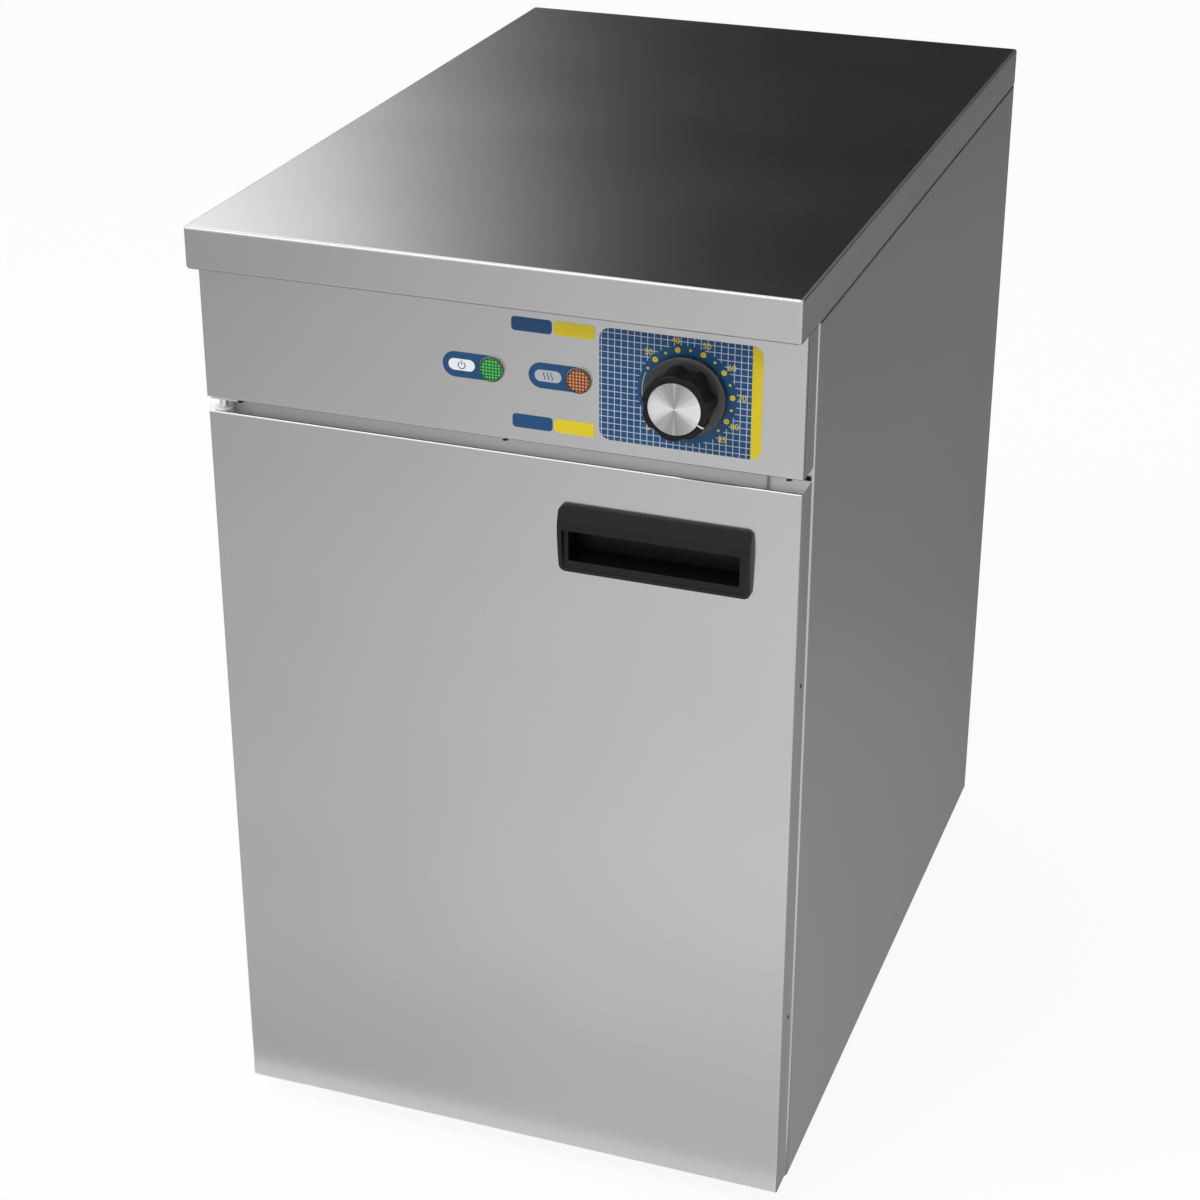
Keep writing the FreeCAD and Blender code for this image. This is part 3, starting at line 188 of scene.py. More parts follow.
def add(tree, kind, values=None, links=None, stops=(), **settings):
    """Adds one node with its settings, its plain values, its links and its colour stops.

    A link starts at a socket, or at a node's first output.
    """
    node = tree.nodes.new("ShaderNode" + kind)
    for name, value in settings.items():
        setattr(node, name, value)
    for socket, value in (values or {}).items():
        node.inputs[socket].default_value = value
    for socket, source in (links or {}).items():
        start = source.outputs[0] if isinstance(source, bpy.types.Node) else source
        tree.links.new(start, node.inputs[socket])
    if stops:
        elements = node.color_ramp.elements
        while len(elements) < len(stops):
            elements.new(0.5)
        for element, (position, colour) in zip(elements, stops):
            element.position = position
            element.color = colour
    return node


def start_material(name):
    material = bpy.data.materials.new(name)
    material.use_nodes = True
    material.node_tree.nodes.clear()
    return material, material.node_tree


def close_material(material, shader):
    add(material.node_tree, "OutputMaterial", links={"Surface": shader})
    return material


def close_surface(material, values, colour, relief, gloss=(), **links):
    """Ends a material with its colour, its relief and its gloss.

    The relief is a pattern with its height in mm. The gloss is a pattern with the roughness at
    its low and its high end, and is left out where the roughness is even or comes as a link.
    """
    tree = material.node_tree
    pattern, height_mm = relief
    links["Base Color"] = colour
    links["Normal"] = add(tree, "Bump", {"Strength": 1.0, "Distance": height_mm * MM},
                          {"Height": pattern})
    if gloss:
        pattern, low, high = gloss
        links["Roughness"] = add(tree, "MapRange", {
            "From Min": noise_low, "From Max": noise_high, "To Min": low, "To Max": high},
            {"Value": pattern})
    return close_material(material, add(tree, "BsdfPrincipled", values, links))


def shades(codes, low=noise_low, high=noise_high):
    """Evenly spaced colour stops, from a pattern's low end to its high end."""
    return [(low + (high - low) * number / (len(codes) - 1), linear(code))
            for number, code in enumerate(codes)]


def grain(tree, size_mm, detail=2.0, roughness=0.5):
    """Noise whose blobs measure size_mm, one size or one each along X, Y and Z."""
    sizes = size_mm if isinstance(size_mm, tuple) else (size_mm,) * 3
    scaled = add(tree, "Mapping", {"Scale": [1 / (size * MM) for size in sizes]},
                 {"Vector": add(tree, "TexCoord").outputs["Object"]})
    return add(tree, "TexNoise", {"Scale": 1.0, "Detail": detail, "Roughness": roughness},
               {"Vector": scaled})


def panel_place(tree, centre):
    """Places flat in the control panel, counted from a lamp's or the knob's middle."""
    return add(tree, "Mapping", {"Location": (-centre.x, 0, -centre.z), "Scale": (1, 0, 1)},
               {"Vector": add(tree, "TexCoord").outputs["Object"]})


def distance_to_grid(tree, place, pitch):
    """How far a place is from the nearest of a grid's upright and level lines."""
    axes = add(tree, "SeparateXYZ", links={"Vector": place}).outputs
    near = [add(tree, "Math", {1: pitch / 2}, {0: axes[axis]}, operation="PINGPONG")
            for axis in ("X", "Z")]
    return add(tree, "Math", links=dict(enumerate(near)), operation="MINIMUM")


def plain_finish(name, codes, roughness, size_mm, height_mm, values=None, detail=2.0):
    """A finish of one substance: its grain tints it, changes its gloss and stands in low relief."""
    material, tree = start_material(name)
    pattern = grain(tree, size_mm, detail)
    colour = add(tree, "ValToRGB", links={"Fac": pattern}, stops=shades(codes))
    return close_surface(material, values, colour, (pattern, height_mm), (pattern, *roughness))


def satin_stainless(name, brush_mm, cloud_mm, axis):
    """Satin stainless sheet, brushed with 180 grit along one axis: faint lines and slow clouds.

    The real lines are about 0.05 mm apart, so they are drawn a few times as coarse to show at all.
    Brushing spreads a reflection across the lines and hardly along them.
    """
    material, tree = start_material(name)
    lines = grain(tree, brush_mm, 3.0)
    clouds = grain(tree, cloud_mm, 1.0)
    both = add(tree, "Math", links={0: lines, 1: clouds}, operation="ADD")
    pattern = add(tree, "Math", {1: 0.5}, {0: both}, operation="MULTIPLY")
    colour = add(tree, "ValToRGB", links={"Fac": pattern}, stops=shades(("#C0C1C0", "#C5C6C5")))
    across = add(tree, "Tangent", direction_type="RADIAL", axis=axis)
    return close_surface(material, BRUSHED, colour, (lines, 0.0007), (pattern, 0.172, 0.195),
                         Tangent=across)


def galvanised_sheet(crystal_mm=6):
    """Hot-dip galvanised steel: dull grey with faint crystals of zinc a few millimetres across."""
    material, tree = start_material("galvanised_steel")
    cells = add(tree, "TexVoronoi", {"Scale": 1 / (crystal_mm * MM)},
                {"Vector": add(tree, "TexCoord").outputs["Object"]})
    shade = add(tree, "SeparateColor", links={"Color": cells.outputs["Color"]}).outputs["Red"]
    colour = add(tree, "ValToRGB", links={"Fac": shade}, stops=shades(("#ABB0B2", "#B8BCBF"), 0, 1))
    dullness = add(tree, "MapRange", {"To Min": 0.4, "To Max": 0.47}, {"Value": shade})
    return close_surface(material, METAL, colour, (grain(tree, 1.5), 0.01), Roughness=dullness)


def mineral_wool():
    """Mineral wool slab: matted ochre fibres with soft hollows."""
    material, tree = start_material("mineral_wool")
    fibres = grain(tree, (6, 1.2, 1.2), 6.0, 0.7)
    hollows = grain(tree, (18, 14, 12), 3.0)
    height = add(tree, "Math", links={0: fibres, 1: hollows}, operation="ADD")
    colour = add(tree, "ValToRGB", links={"Fac": fibres}, stops=shades(("#5E5230", "#94875A")))
    return close_surface(material, {"Roughness": 0.95, "Specular IOR Level": 0.15}, colour,
                         (height, 1.6))


def dial_field_print():
    """Printed polycarbonate film: blue with a fine pale lattice, plain round the dial."""
    material, tree = start_material("printed_film_lattice")
    place = panel_place(tree, knob_axis)
    on_line = add(tree, "Math", {1: lattice_line / 2},
                  {0: distance_to_grid(tree, place, lattice_pitch)}, operation="LESS_THAN")
    from_knob = add(tree, "VectorMath", links={0: place}, operation="LENGTH").outputs["Value"]
    outside = add(tree, "Math", {1: plain_disc_radius}, {0: from_knob}, operation="GREATER_THAN")
    lattice = add(tree, "Math", links={0: on_line, 1: outside}, operation="MULTIPLY")
    across = add(tree, "SeparateXYZ", links={"Vector": place}).outputs["X"]
    band = add(tree, "Math", {1: field_right - field_edge_band - knob_axis.x}, {0: across},
               operation="GREATER_THAN")
    colour = add(tree, "ValToRGB", links={"Fac": grain(tree, 8)},
                 stops=shades(("#14436E", "#194A76")))
    for share, code in ((lattice, "#AEBAC8"), (band, "#D6BF12")):
        colour = add(tree, "Mix", {"B": linear(code)}, {"Factor": share, "A": colour},
                     data_type="RGBA").outputs["Result"]
    matt = grain(tree, 0.4)
    return close_surface(material, FILM, colour, (matt, 0.004), (matt, 0.38, 0.5))


def prismatic_lens(name, codes, lamp):
    """Moulded acrylic lens: small glossy pyramids, painted dark as shade in their grooves and pale
    as highlight at their tips.
    """
    material, tree = start_material(name)
    height = distance_to_grid(tree, panel_place(tree, lamp), prism_pitch)
    share = add(tree, "Math", {1: prism_pitch / 2}, {0: height}, operation="DIVIDE")
    # Painted shade and highlight: darkest along the grid of grooves, palest at the pyramids' tips
    colour = add(tree, "ValToRGB", links={"Fac": share}, stops=shades(codes, 0.08, 0.75))
    mottle = grain(tree, 0.8)
    return close_surface(material, ACRYLIC, colour, (mottle, 0.01), (mottle, 0.1, 0.18))


def spun_aluminium():
    """Spun aluminium: fine turned rings, and a base colour with painted highlight in rays from the
    centre.
    """
    material, tree = start_material("spun_aluminium")
    layout = add(tree, "Mapping", {"Scale": (1.5, 70, 1)},
                 {"Vector": add(tree, "UVMap", uv_map="turned")})
    rings = add(tree, "TexNoise", {"Scale": 1.0, "Detail": 3.0}, {"Vector": layout})
    # Painted highlight: the colour is brightest to the left and right, along an upright ray and in
    # random rays round the centre
    ray = add(tree, "VectorMath", links={0: panel_place(tree, knob_axis)}, operation="NORMALIZE")
    noise = add(tree, "TexNoise", {"Scale": 3.2, "Detail": 4.0, "Roughness": 0.65}, {"Vector": ray})
    streaks = add(tree, "MapRange", {"From Min": noise_low, "From Max": noise_high,
                  "To Min": -0.12, "To Max": 0.22}, {"Value": noise})
    sideways = add(tree, "SeparateXYZ", links={"Vector": ray}).outputs["X"]
    fan = add(tree, "Math", links={0: sideways, 1: sideways}, operation="MULTIPLY")
    slant = add(tree, "Math", links={0: sideways}, operation="ABSOLUTE")
    upright = add(tree, "MapRange", {"From Max": 0.09, "To Min": 0.45, "To Max": 0.0},
                  {"Value": slant})
    rays = add(tree, "Math", links={0: upright, 1: streaks}, operation="ADD")
    share = add(tree, "Math", links={0: fan, 1: rays}, operation="ADD")
    colour = add(tree, "ValToRGB", links={"Fac": share},
                 stops=shades(("#979899", "#BDBEBF", "#F2F3F4"), 0, 1))
    tangent = add(tree, "Tangent", direction_type="UV_MAP", uv_map="turned")
    return close_surface(material, BRUSHED | {"Anisotropic Rotation": 0.25}, colour,
                         (rings, 0.004), (rings, 0.28, 0.36), Tangent=tangent)


def heated_sheath():
    """Steel element sheath that heat has turned brown and blue in bands."""
    material, tree = start_material("heated_steel_sheath")
    bands = grain(tree, (25, 40, 25))
    colour = add(tree, "ValToRGB", links={"Fac": bands}, stops=shades(("#4B4238", "#6E6A72")))
    return close_surface(material, METAL, colour, (grain(tree, 0.8), 0.01), (bands, 0.35, 0.5))


def braided_sleeve(strand_mm=2.2):
    """Glass-fibre sleeve over the leads: a fine herringbone braid."""
    material, tree = start_material("glass_fibre_sleeve")
    place = add(tree, "TexCoord").outputs["Object"]
    waves = []
    for turn in (45, -45):
        tilted = add(tree, "Mapping", {"Rotation": (0, 0, math.radians(turn))}, {"Vector": place})
        waves.append(add(tree, "TexWave", {"Scale": 1 / (strand_mm * MM) / math.tau * 2},
                         {"Vector": tilted}).outputs["Fac"])
    weave = add(tree, "Math", links=dict(enumerate(waves)), operation="MAXIMUM")
    colour = add(tree, "ValToRGB", links={"Fac": weave}, stops=shades(("#B9B4A5", "#E3DECF")))
    return close_surface(material, {"Roughness": 0.75}, colour, (weave, 0.3))


# Even colour under the fine matt grain of printed film: roughness, grain, relief, values
PRINT = ((0.38, 0.5), 0.4, 0.004, FILM)

# Name, colours, roughness, grain in mm, relief in mm, then further values and the grain's detail
plain_finishes = {
    # Cold-rolled bright sheet: smoother than the outside, with faint rolling streaks
    "inner_stainless": ("cold_rolled_stainless", ("#B9BAB9", "#C4C5C4"), (0.2, 0.26),
                        (1.2, 30, 1.2), 0.003, METAL),
    # Chipboard: pale pressed flakes with darker ones between
    "board": ("chipboard", ("#8A6A42", "#C6A878"), (0.75, 0.9), (3, 3, 1.2), 0.15, {}, 5.0),
    # Closed-cell foam strip: dark grey, dull, with tiny pores
    "foam": ("polyethylene_foam", ("#303133", "#45474A"), (0.8, 0.95), 0.9, 0.12),
    # Bright nickel-chrome plate on drawn wire: near mirror with a little waviness
    "shelf_chrome": ("chrome_plate", ("#D4D6D8", "#DFE1E3"), (0.06, 0.11), 9, 0.01, METAL),
    # Zinc-plated steel: bright, slightly blue, a little patchy
    "plated_steel": ("zinc_plated_steel", ("#B4B9BF", "#CACFD3"), (0.24, 0.36), 2.5, 0.005, METAL),
    # Ground and polished steel: bright, with very fine turning marks
    "polished_steel": ("polished_steel", ("#DCDDDE", "#E9EAEA"), (0.08, 0.14), (1.5, 1.5, 0.4),
                       0.002, METAL),
    # Drawn copper tube, slightly dulled by handling
    "copper_tube": ("drawn_copper", ("#A9623F", "#D08A62"), (0.22, 0.36), 6, 0.004, METAL),
    # Moulded nylon in white: waxy, with a faint mottle
    "white_nylon": ("moulded_white_nylon", ("#E8E7E3", "#F2F1EE"), (0.4, 0.5), 1.5, 0.01),
    # Moulded phenolic: hard brown-black with a fine mottle
    "phenolic": ("moulded_phenolic", ("#241A15", "#3A2B22"), (0.3, 0.42), 2, 0.01),
    # Moulded black nylon: dull, with spark-eroded grain
    "black_nylon": ("moulded_black_nylon", ("#161718", "#232426"), (0.42, 0.55), 0.6, 0.02),
    # Pressed lamp bezel in bright nickel: glossy, with faint press marks
    "lamp_shell": ("nickel_bezel", ("#B9BAB8", "#CFCFCC"), (0.16, 0.26), 3, 0.003, METAL),
    # Plain edge of each lens, seen side on: the same acrylic, dark through its depth
    "green_edge": ("green_acrylic_edge", ("#33483A", "#465C4C"), (0.16, 0.24), 3, 0.004, ACRYLIC),
    "amber_edge": ("amber_acrylic_edge", ("#4C2C24", "#633C31"), (0.16, 0.24), 3, 0.004, ACRYLIC),
    # Knob moulded in black phenolic: satin black with a very fine grain
    "knob_black": ("moulded_black_phenolic", ("#0A0A0A", "#121212"), (0.34, 0.44), 0.5, 0.008,
                   {"Specular IOR Level": 0.22}),
    # Skirt of the same phenolic, left smoother by its flat mould face, and painted a lighter grey
    # than the grip as sheen
    "knob_skirt": ("moulded_black_phenolic_skirt", ("#1E1E1E", "#292929"), (0.26, 0.34), 0.5,
                   0.006, {"IOR": 1.6}),
    # Pull moulded in black ABS with a fine spark-eroded grain
    "handle_black": ("moulded_black_abs", ("#080808", "#0E0E0E"), (0.36, 0.46), 0.5, 0.012,
                     {"Specular IOR Level": 0.3}),
    # Silicone door gasket: grey, soft sheen
    "door_rubber": ("silicone_gasket", ("#3B3D3F", "#4A4C4F"), (0.5, 0.62), 2, 0.02),
    # Moulded nitrile rubber feet: black and dull with a bloom
    "foot_rubber": ("nitrile_rubber", ("#17181A", "#2A2B2D"), (0.65, 0.8), 1.5, 0.03),
    # Ferrite strip in a brown-black binder
    "magnet": ("ferrite_strip", ("#26221F", "#38322D"), (0.5, 0.65), 1, 0.02),
    "blue_print": ("printed_film_blue", ("#14436E", "#194A76"), *PRINT),
    "yellow_print": ("printed_film_yellow", ("#D3BC10", "#DAC41A"), *PRINT),
    "white_print": ("printed_film_white", ("#DDE0E4", "#E8EAEC"), *PRINT),
    "grey_print": ("printed_film_grey", ("#A4A7AB", "#AFB2B5"), *PRINT),
    "orange_print": ("printed_film_orange", ("#C9792A", "#D58A35"), *PRINT),
    # Painted highlight on a bend, and on a dressed seam: brighter and smoother than the brushed
    # sheet
    "painted_highlight_bead": ("polished_fold", ("#DADBDB", "#E6E7E7"), (0.12, 0.2), 2, 0.003, METAL),
    # Painted shade: the dark reflection in the control panel's bend, and the shade in a pressed
    # screw head's cross recess
    "painted_shade_line": ("fold_shadow", ("#3A3B3B", "#4C4D4D"), (0.5, 0.6), 1, 0.005),
    # Dark strip at the bottom of the worktop's lip: painted shade, duller and greyer than the
    # brushed faces
    "sheared_edge": ("sheared_edge", ("#6F7070", "#7E7F7F"), (0.45, 0.55), 1, 0.005),
}

finishes = {key: plain_finish(*row) for key, row in plain_finishes.items()} | {
    "sheet_along_x": satin_stainless("satin_stainless", (25, 0.35, 0.35), (160, 90, 90), "X"),
    "sheet_along_y": satin_stainless("satin_stainless_side", (0.35, 25, 0.35), (90, 160, 90), "Y"),
    "zinc_sheet": galvanised_sheet(),
    "mineral_wool": mineral_wool(),
    "element_sheath": heated_sheath(),
    "lead_sleeve": braided_sleeve(),
    "green_lens": prismatic_lens("green_acrylic_lens", ("#0A4F1C", "#1C9438", "#55D470"),
                                 power_lamp),
    "amber_lens": prismatic_lens("amber_acrylic_lens", ("#54230F", "#A45A2C", "#E6A863"),
                                 heat_lamp),
    "knob_cap": spun_aluminium(),
    "field_print": dial_field_print(),
}

node_finishes = {
    "sheet_along_x": ("worktop", "control_panel", "door_outer"),
    "sheet_along_y": ("side_panel_left", "side_panel_right"),
    "inner_stainless": ("liner_left", "liner_right", "liner_back", "liner_ceiling", "liner_floor",
                        "door_inner", "element_guard", "shelf_runners", "front_top_rail",
                        "front_bottom_rail"),
    "zinc_sheet": ("back_panel", "base_panel", "compartment_floor", "rear_top_rail",
                   "panel_brackets"),
    "board": ("worktop_board",),
    "foam": ("worktop_gasket",),
    "mineral_wool": ("insulation_sides", "insulation_back", "insulation_top", "insulation_bottom",
                     "door_insulation"),
    "shelf_chrome": ("wire_shelf_lower", "wire_shelf_upper"),
    "element_sheath": ("heating_elements",),
    "plated_steel": ("element_flanges", "element_clips", "bulb_clips", "strike_plate",
                     "foot_bolts", "back_panel_screws", "thermostat_shaft"),
    "polished_steel": ("hinge_bracket_top", "hinge_bracket_bottom", "hinge_pins"),
    "copper_tube": ("thermostat_capillary",),
    "white_nylon": ("terminal_block", "hinge_bushes", "lamp_nuts"),
    "phenolic": ("safety_cutout", "thermostat_body"),
    "lead_sleeve": ("wiring_loom",),
    "black_nylon": ("cable_gland", "gland_nut"),
    "blue_print": ("control_labels",),
    "lamp_shell": ("power_lamp_body", "heat_lamp_body"),
    "green_lens": ("power_lamp_lens",),
    "amber_lens": ("heat_lamp_lens",),
    "knob_black": ("knob",),
    "knob_cap": ("knob_cap",),
    "handle_black": ("door_handle",),
    "door_rubber": ("door_seal",),
    "foot_rubber": ("feet",),
    "magnet": ("magnetic_catch",),
}


def finish_nodes():
    for finish, names in node_finishes.items():
        for name in names:
            for slot in frame["nodes"][name].material_slots:
                slot.material = finishes[finish]


# Modelling

# Points closer than this are one
weld = 1e-7


def in_mm(*points):
    return [tuple(value * MM for value in point) for point in points]


def only(items, kind):
    return [item for item in items if isinstance(item, kind)]


def rim_of(shape):
    return [edge for edge in shape.edges if edge.is_boundary]


def edges_of(points):
    return list({edge for point in points for edge in point.link_edges})


def along(edge, axis):
    run = (edge.verts[1].co - edge.verts[0].co).normalized()
    return abs(run.dot(axis)) > 0.999


def soften(shape, edges, width, segments):
    bmesh.ops.bevel(shape, geom=edges, offset=width, offset_type="OFFSET", segments=segments,
                    profile=0.5, affect="EDGES", material=-1, clamp_overlap=True)


def box_shape(shape, low, high):
    """Adds a box between two corners and returns its new points."""
    size = Vector(high) - Vector(low)
    middle = (Vector(high) + Vector(low)) / 2
    place = Matrix.Translation(middle) @ Matrix.Diagonal((*size, 1))
    return bmesh.ops.create_cube(shape, size=1, matrix=place)["verts"]


def rounded_plate(shape, low, high, corner, segments=8):
    """A flat plate facing the front, with its four upright corners rounded."""
    points = box_shape(shape, low, high)
    soften(shape, [edge for edge in edges_of(points) if along(edge, Y_AXIS)], corner, segments)


def pill_plate(shape, low, high):
    """A flat plate facing the front, with full round ends."""
    just_under_half = 0.4995
    rounded_plate(shape, low, high, (high[2] - low[2]) * just_under_half, 16)


def cylinder(shape, middle, radius, length, segments, turn=UPRIGHT):
    """A closed cylinder, along Y unless it is turned otherwise. Returns its points."""
    return bmesh.ops.create_cone(shape, cap_ends=True, cap_tris=False, segments=segments,
                                 radius1=radius, radius2=radius, depth=length,
                                 matrix=Matrix.Translation(middle) @ turn)["verts"]


def disc(shape, centre, radius, back, front, segments=32):
    """A flat disc facing the front, between two depths."""
    cylinder(shape, (centre[0], (back + front) / 2, centre[1]), radius, abs(back - front), segments)


def turned(shape, outline, centre, axis, steps):
    """Spins an outline of (radius, distance along the axis) points round the axis."""
    side = axis.orthogonal().normalized()
    points = [shape.verts.new(Vector(centre) + side * radius + axis * distance)
              for radius, distance in outline]
    edges = [shape.edges.new(pair) for pair in zip(points, points[1:])]
    bmesh.ops.spin(shape, geom=points + edges, cent=centre, axis=axis, angle=math.tau, steps=steps,
                   use_merge=True)


def pull_out(shape, edges):
    """Extrudes edges in place. Returns the new points, the edges between them and the faces."""
    made = bmesh.ops.extrude_edge_only(shape, edges=edges)["geom"]
    points = only(made, BMVert)
    far_edges = [edge for edge in only(made, BMEdge) if all(end in points for end in edge.verts)]
    return points, far_edges, only(made, BMFace)


def fluted(angle, radius, depth, lobes, hollow):
    """A grip's radius at an angle: round, but hollowed by a circle between each two lobes."""
    spacing = math.tau / lobes
    off = (angle % spacing) - spacing / 2
    centre = radius - depth + hollow
    room = hollow ** 2 - (centre * math.sin(off)) ** 2
    if depth <= 0 or room <= 0:
        return radius
    return min(radius, centre * math.cos(off) - math.sqrt(room))


def ring_stack(shape, centre, axis, rings, segments, lobes, hollow):
    """Stacks rings of (distance, radius, flute depth) along an axis. Returns the last edges."""
    place = Matrix.Translation(centre) @ axis.to_track_quat("Z", "Y").to_matrix().to_4x4()
    points = bmesh.ops.create_circle(shape, cap_ends=False, segments=segments, radius=1)["verts"]
    edges = [edge for edge in edges_of(points) if edge.is_boundary or edge.is_wire]
    for number, (distance, radius, depth) in enumerate(rings):
        if number:
            points, edges, _ = pull_out(shape, edges)
            for point in points:
                point.co = place.inverted() @ point.co
        for point in points:
            angle = math.atan2(point.co.y, point.co.x)
            reach = fluted(angle, radius, depth, lobes, hollow)
            point.co = place @ Vector((reach * math.cos(angle), reach * math.sin(angle), distance))
    return edges


def show(made):
    bpy.context.scene.collection.objects.link(made)
    return made


def as_object(shape, name, material):
    """Turns a shape into an object in the scene."""
    mesh = bpy.data.meshes.new(name)
    shape.to_mesh(mesh)
    shape.free()
    mesh.materials.append(material)
    return show(bpy.data.objects.new(name, mesh))


def piece(shape, name, finish, body, replaces=(), sharp=35):
    """Turns a shape into an object that rides on a body, and hides the nodes it stands for."""
    bmesh.ops.remove_doubles(shape, verts=shape.verts, dist=weld)
    bmesh.ops.recalc_face_normals(shape, faces=shape.faces)
    made = as_object(shape, name, finishes[finish])
    made.data.shade_smooth()
    made.data.set_sharp_from_angle(angle=math.radians(sharp))
    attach(made, body)
    if replaces:
        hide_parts(*replaces)


def knob_skirt():
    """The round skirt: slightly coned towards the grip, with rounded edges and a hollow back."""
    top = skirt_height + 0.2 * MM
    outline = [*in_mm((4, 0.6), (23, 0.6), (23.5, 0), (25, 0), (25.35, 0.15)),
               (skirt_radius, 0.5 * MM), (skirt_radius, 3.7 * MM),
               *in_mm((25.35, 4.1), (24.9, 4.35), (24, 4.5)),
               (19 * MM, top), (4 * MM, top), (4 * MM, 0.6 * MM)]
    shape = bmesh.new()
    turned(shape, outline, knob_back, FORWARD, 96)
    piece(shape, "knob_skirt", "knob_skirt", "knob", ("knob",), sharp=50)


def knob_grip():
    """The fluted grip and the raised rim round its cap."""
    height = knob_high.y - knob_low.y - pointer_proud
    foot = skirt_height - 1.5 * MM
    deep = flute_depth_base
    shallow = flute_depth_face
    seat = cap_radius + 0.02 * MM
    # How far the rim has come down and inward, and its share of the flutes' depth
    rim = ((1.0, 0, 1), (0.7, 0.12, 1), (0.3, 0.4, 0.95), (0.05, 0.8, 0.85), (0, 1.2, 0.75),
           (0, 3.2, 0))
    rings = [(foot, 4 * MM, 0), (foot, knob_radius, deep),
             (skirt_height + 0.8 * MM, knob_radius, deep),
             (height - 7.5 * MM, knob_radius, (deep + shallow) / 2),
             *((height - down * MM, knob_radius - inward * MM, shallow * share)
               for down, inward, share in rim),
             (height, cap_radius + 0.25 * MM, 0), (height - 0.25 * MM, seat, 0),
             (height - cap_seat_depth, seat, 0)]
    shape = bmesh.new()
    edges = ring_stack(shape, knob_back, FORWARD, rings, knob_lobes * lobe_steps, knob_lobes,
                       flute_radius)
    bmesh.ops.contextual_create(shape, geom=edges)
    bmesh.ops.contextual_create(shape, geom=rim_of(shape))
    turn = Matrix.Rotation(-knob_pointer_angle - math.pi / 2, 4, Y_AXIS)
    bmesh.ops.rotate(shape, cent=knob_back, matrix=turn.to_3x3(), verts=shape.verts)
    piece(shape, "knob_grip", "knob_black", "knob", ("knob",), sharp=28)


def knob_cap():
    """The spun disc in the knob's face, laid out round its centre for the turned rings."""
    flat = 0.02 * MM
    outline = [(0, cap_seat_depth), (cap_radius, cap_seat_depth), (cap_radius, cap_edge),
               (cap_radius - cap_edge * 0.3, cap_edge * 0.3), (cap_radius - cap_edge, 0.03 * MM),
               (cap_radius * 0.75, flat), (cap_radius * 0.5, flat), (cap_radius * 0.25, flat),
               (0.3 * MM, flat), (0, flat)]
    centre = Vector((knob_axis.x, knob_low.y, control_z))
    shape = bmesh.new()
    turned(shape, outline, centre, Y_AXIS, 96)
    bmesh.ops.remove_doubles(shape, verts=shape.verts, dist=weld)
    layout = shape.loops.layers.uv.new("turned")
    for face in shape.faces:
        middle = face.calc_center_median() - centre
        base = math.atan2(middle.z, middle.x)
        for loop in face.loops:
            arm = loop.vert.co - centre
            radius = math.hypot(arm.x, arm.z)
            # Kept within half a turn of the face's middle, so that no face spans the seam
            angle = math.atan2(arm.z, arm.x) if radius > 1e-6 else base
            if angle - base > math.pi:
                angle -= math.tau
            if angle - base < -math.pi:
                angle += math.tau
            loop[layout].uv = (angle / math.tau, radius / cap_radius)
    piece(shape, "knob_cap_disc", "knob_cap", "knob", ("knob_cap",))


def knob_pointer():
    """A white line over the rim, from the cap's edge to the side of the grip, pointing at 80."""
    front = knob_low.y
    half = pointer_width / 2
    inner = cap_radius + 0.1 * MM
    outer = knob_radius - 1.1 * MM
    shape = bmesh.new()
    box_shape(shape, (inner, front, -half), (outer, front + 0.5 * MM, half))
    slope = box_shape(shape, (outer, front, -half),
                      (knob_radius - 0.15 * MM, front + 0.5 * MM, half))
    for point in slope:
        if point.co.x > outer + 0.1 * MM:
            point.co.y += 0.9 * MM
    bmesh.ops.rotate(shape, cent=(0, 0, 0), verts=shape.verts,
                     matrix=Matrix.Rotation(knob_pointer_angle - math.pi / 2, 3, Y_AXIS))
    bmesh.ops.translate(shape, vec=(knob_axis.x, 0, control_z), verts=shape.verts)
    piece(shape, "knob_pointer", "white_print", "knob")


def lamp_lens(lamp, name, finish, node):
    """A round field of small pyramids, four facets each, with a plug behind."""
    half_pitch = prism_pitch / 2
    # Points past the first radius are cut away, and those past the second move to the rim
    cut_radius = lens_radius + half_pitch * 0.7
    rim_radius = lens_radius - half_pitch * 0.45
    count = int(lens_radius / half_pitch) + 1
    place = Matrix.Translation((lamp.x, panel_face - prism_base, lamp.z)) @ UPRIGHT
    shape = bmesh.new()
    grid = bmesh.ops.create_grid(shape, x_segments=count * 2, y_segments=count * 2,
                                 size=half_pitch * count, matrix=place)["verts"]
    outside = []
    for point in grid:
        x = point.co.x - lamp.x
        z = point.co.z - lamp.z
        distance = math.hypot(x, z)
        if distance > cut_radius:
            outside.append(point)
        elif distance > rim_radius:
            scale = lens_radius / distance
            point.co.x = lamp.x + x * scale
            point.co.z = lamp.z + z * scale
        elif round(x / half_pitch) % 2 and round(z / half_pitch) % 2:
            point.co.y -= prism_height
    bmesh.ops.delete(shape, geom=outside, context="VERTS")
    for point in pull_out(shape, rim_of(shape))[0]:
        point.co.y = panel_face
    bmesh.ops.contextual_create(shape, geom=rim_of(shape))
    disc(shape, (lamp.x, lamp.z), plug_radius, panel_face + plug_depth, panel_face)
    piece(shape, name, finish, "cabinet", (node,), sharp=10)


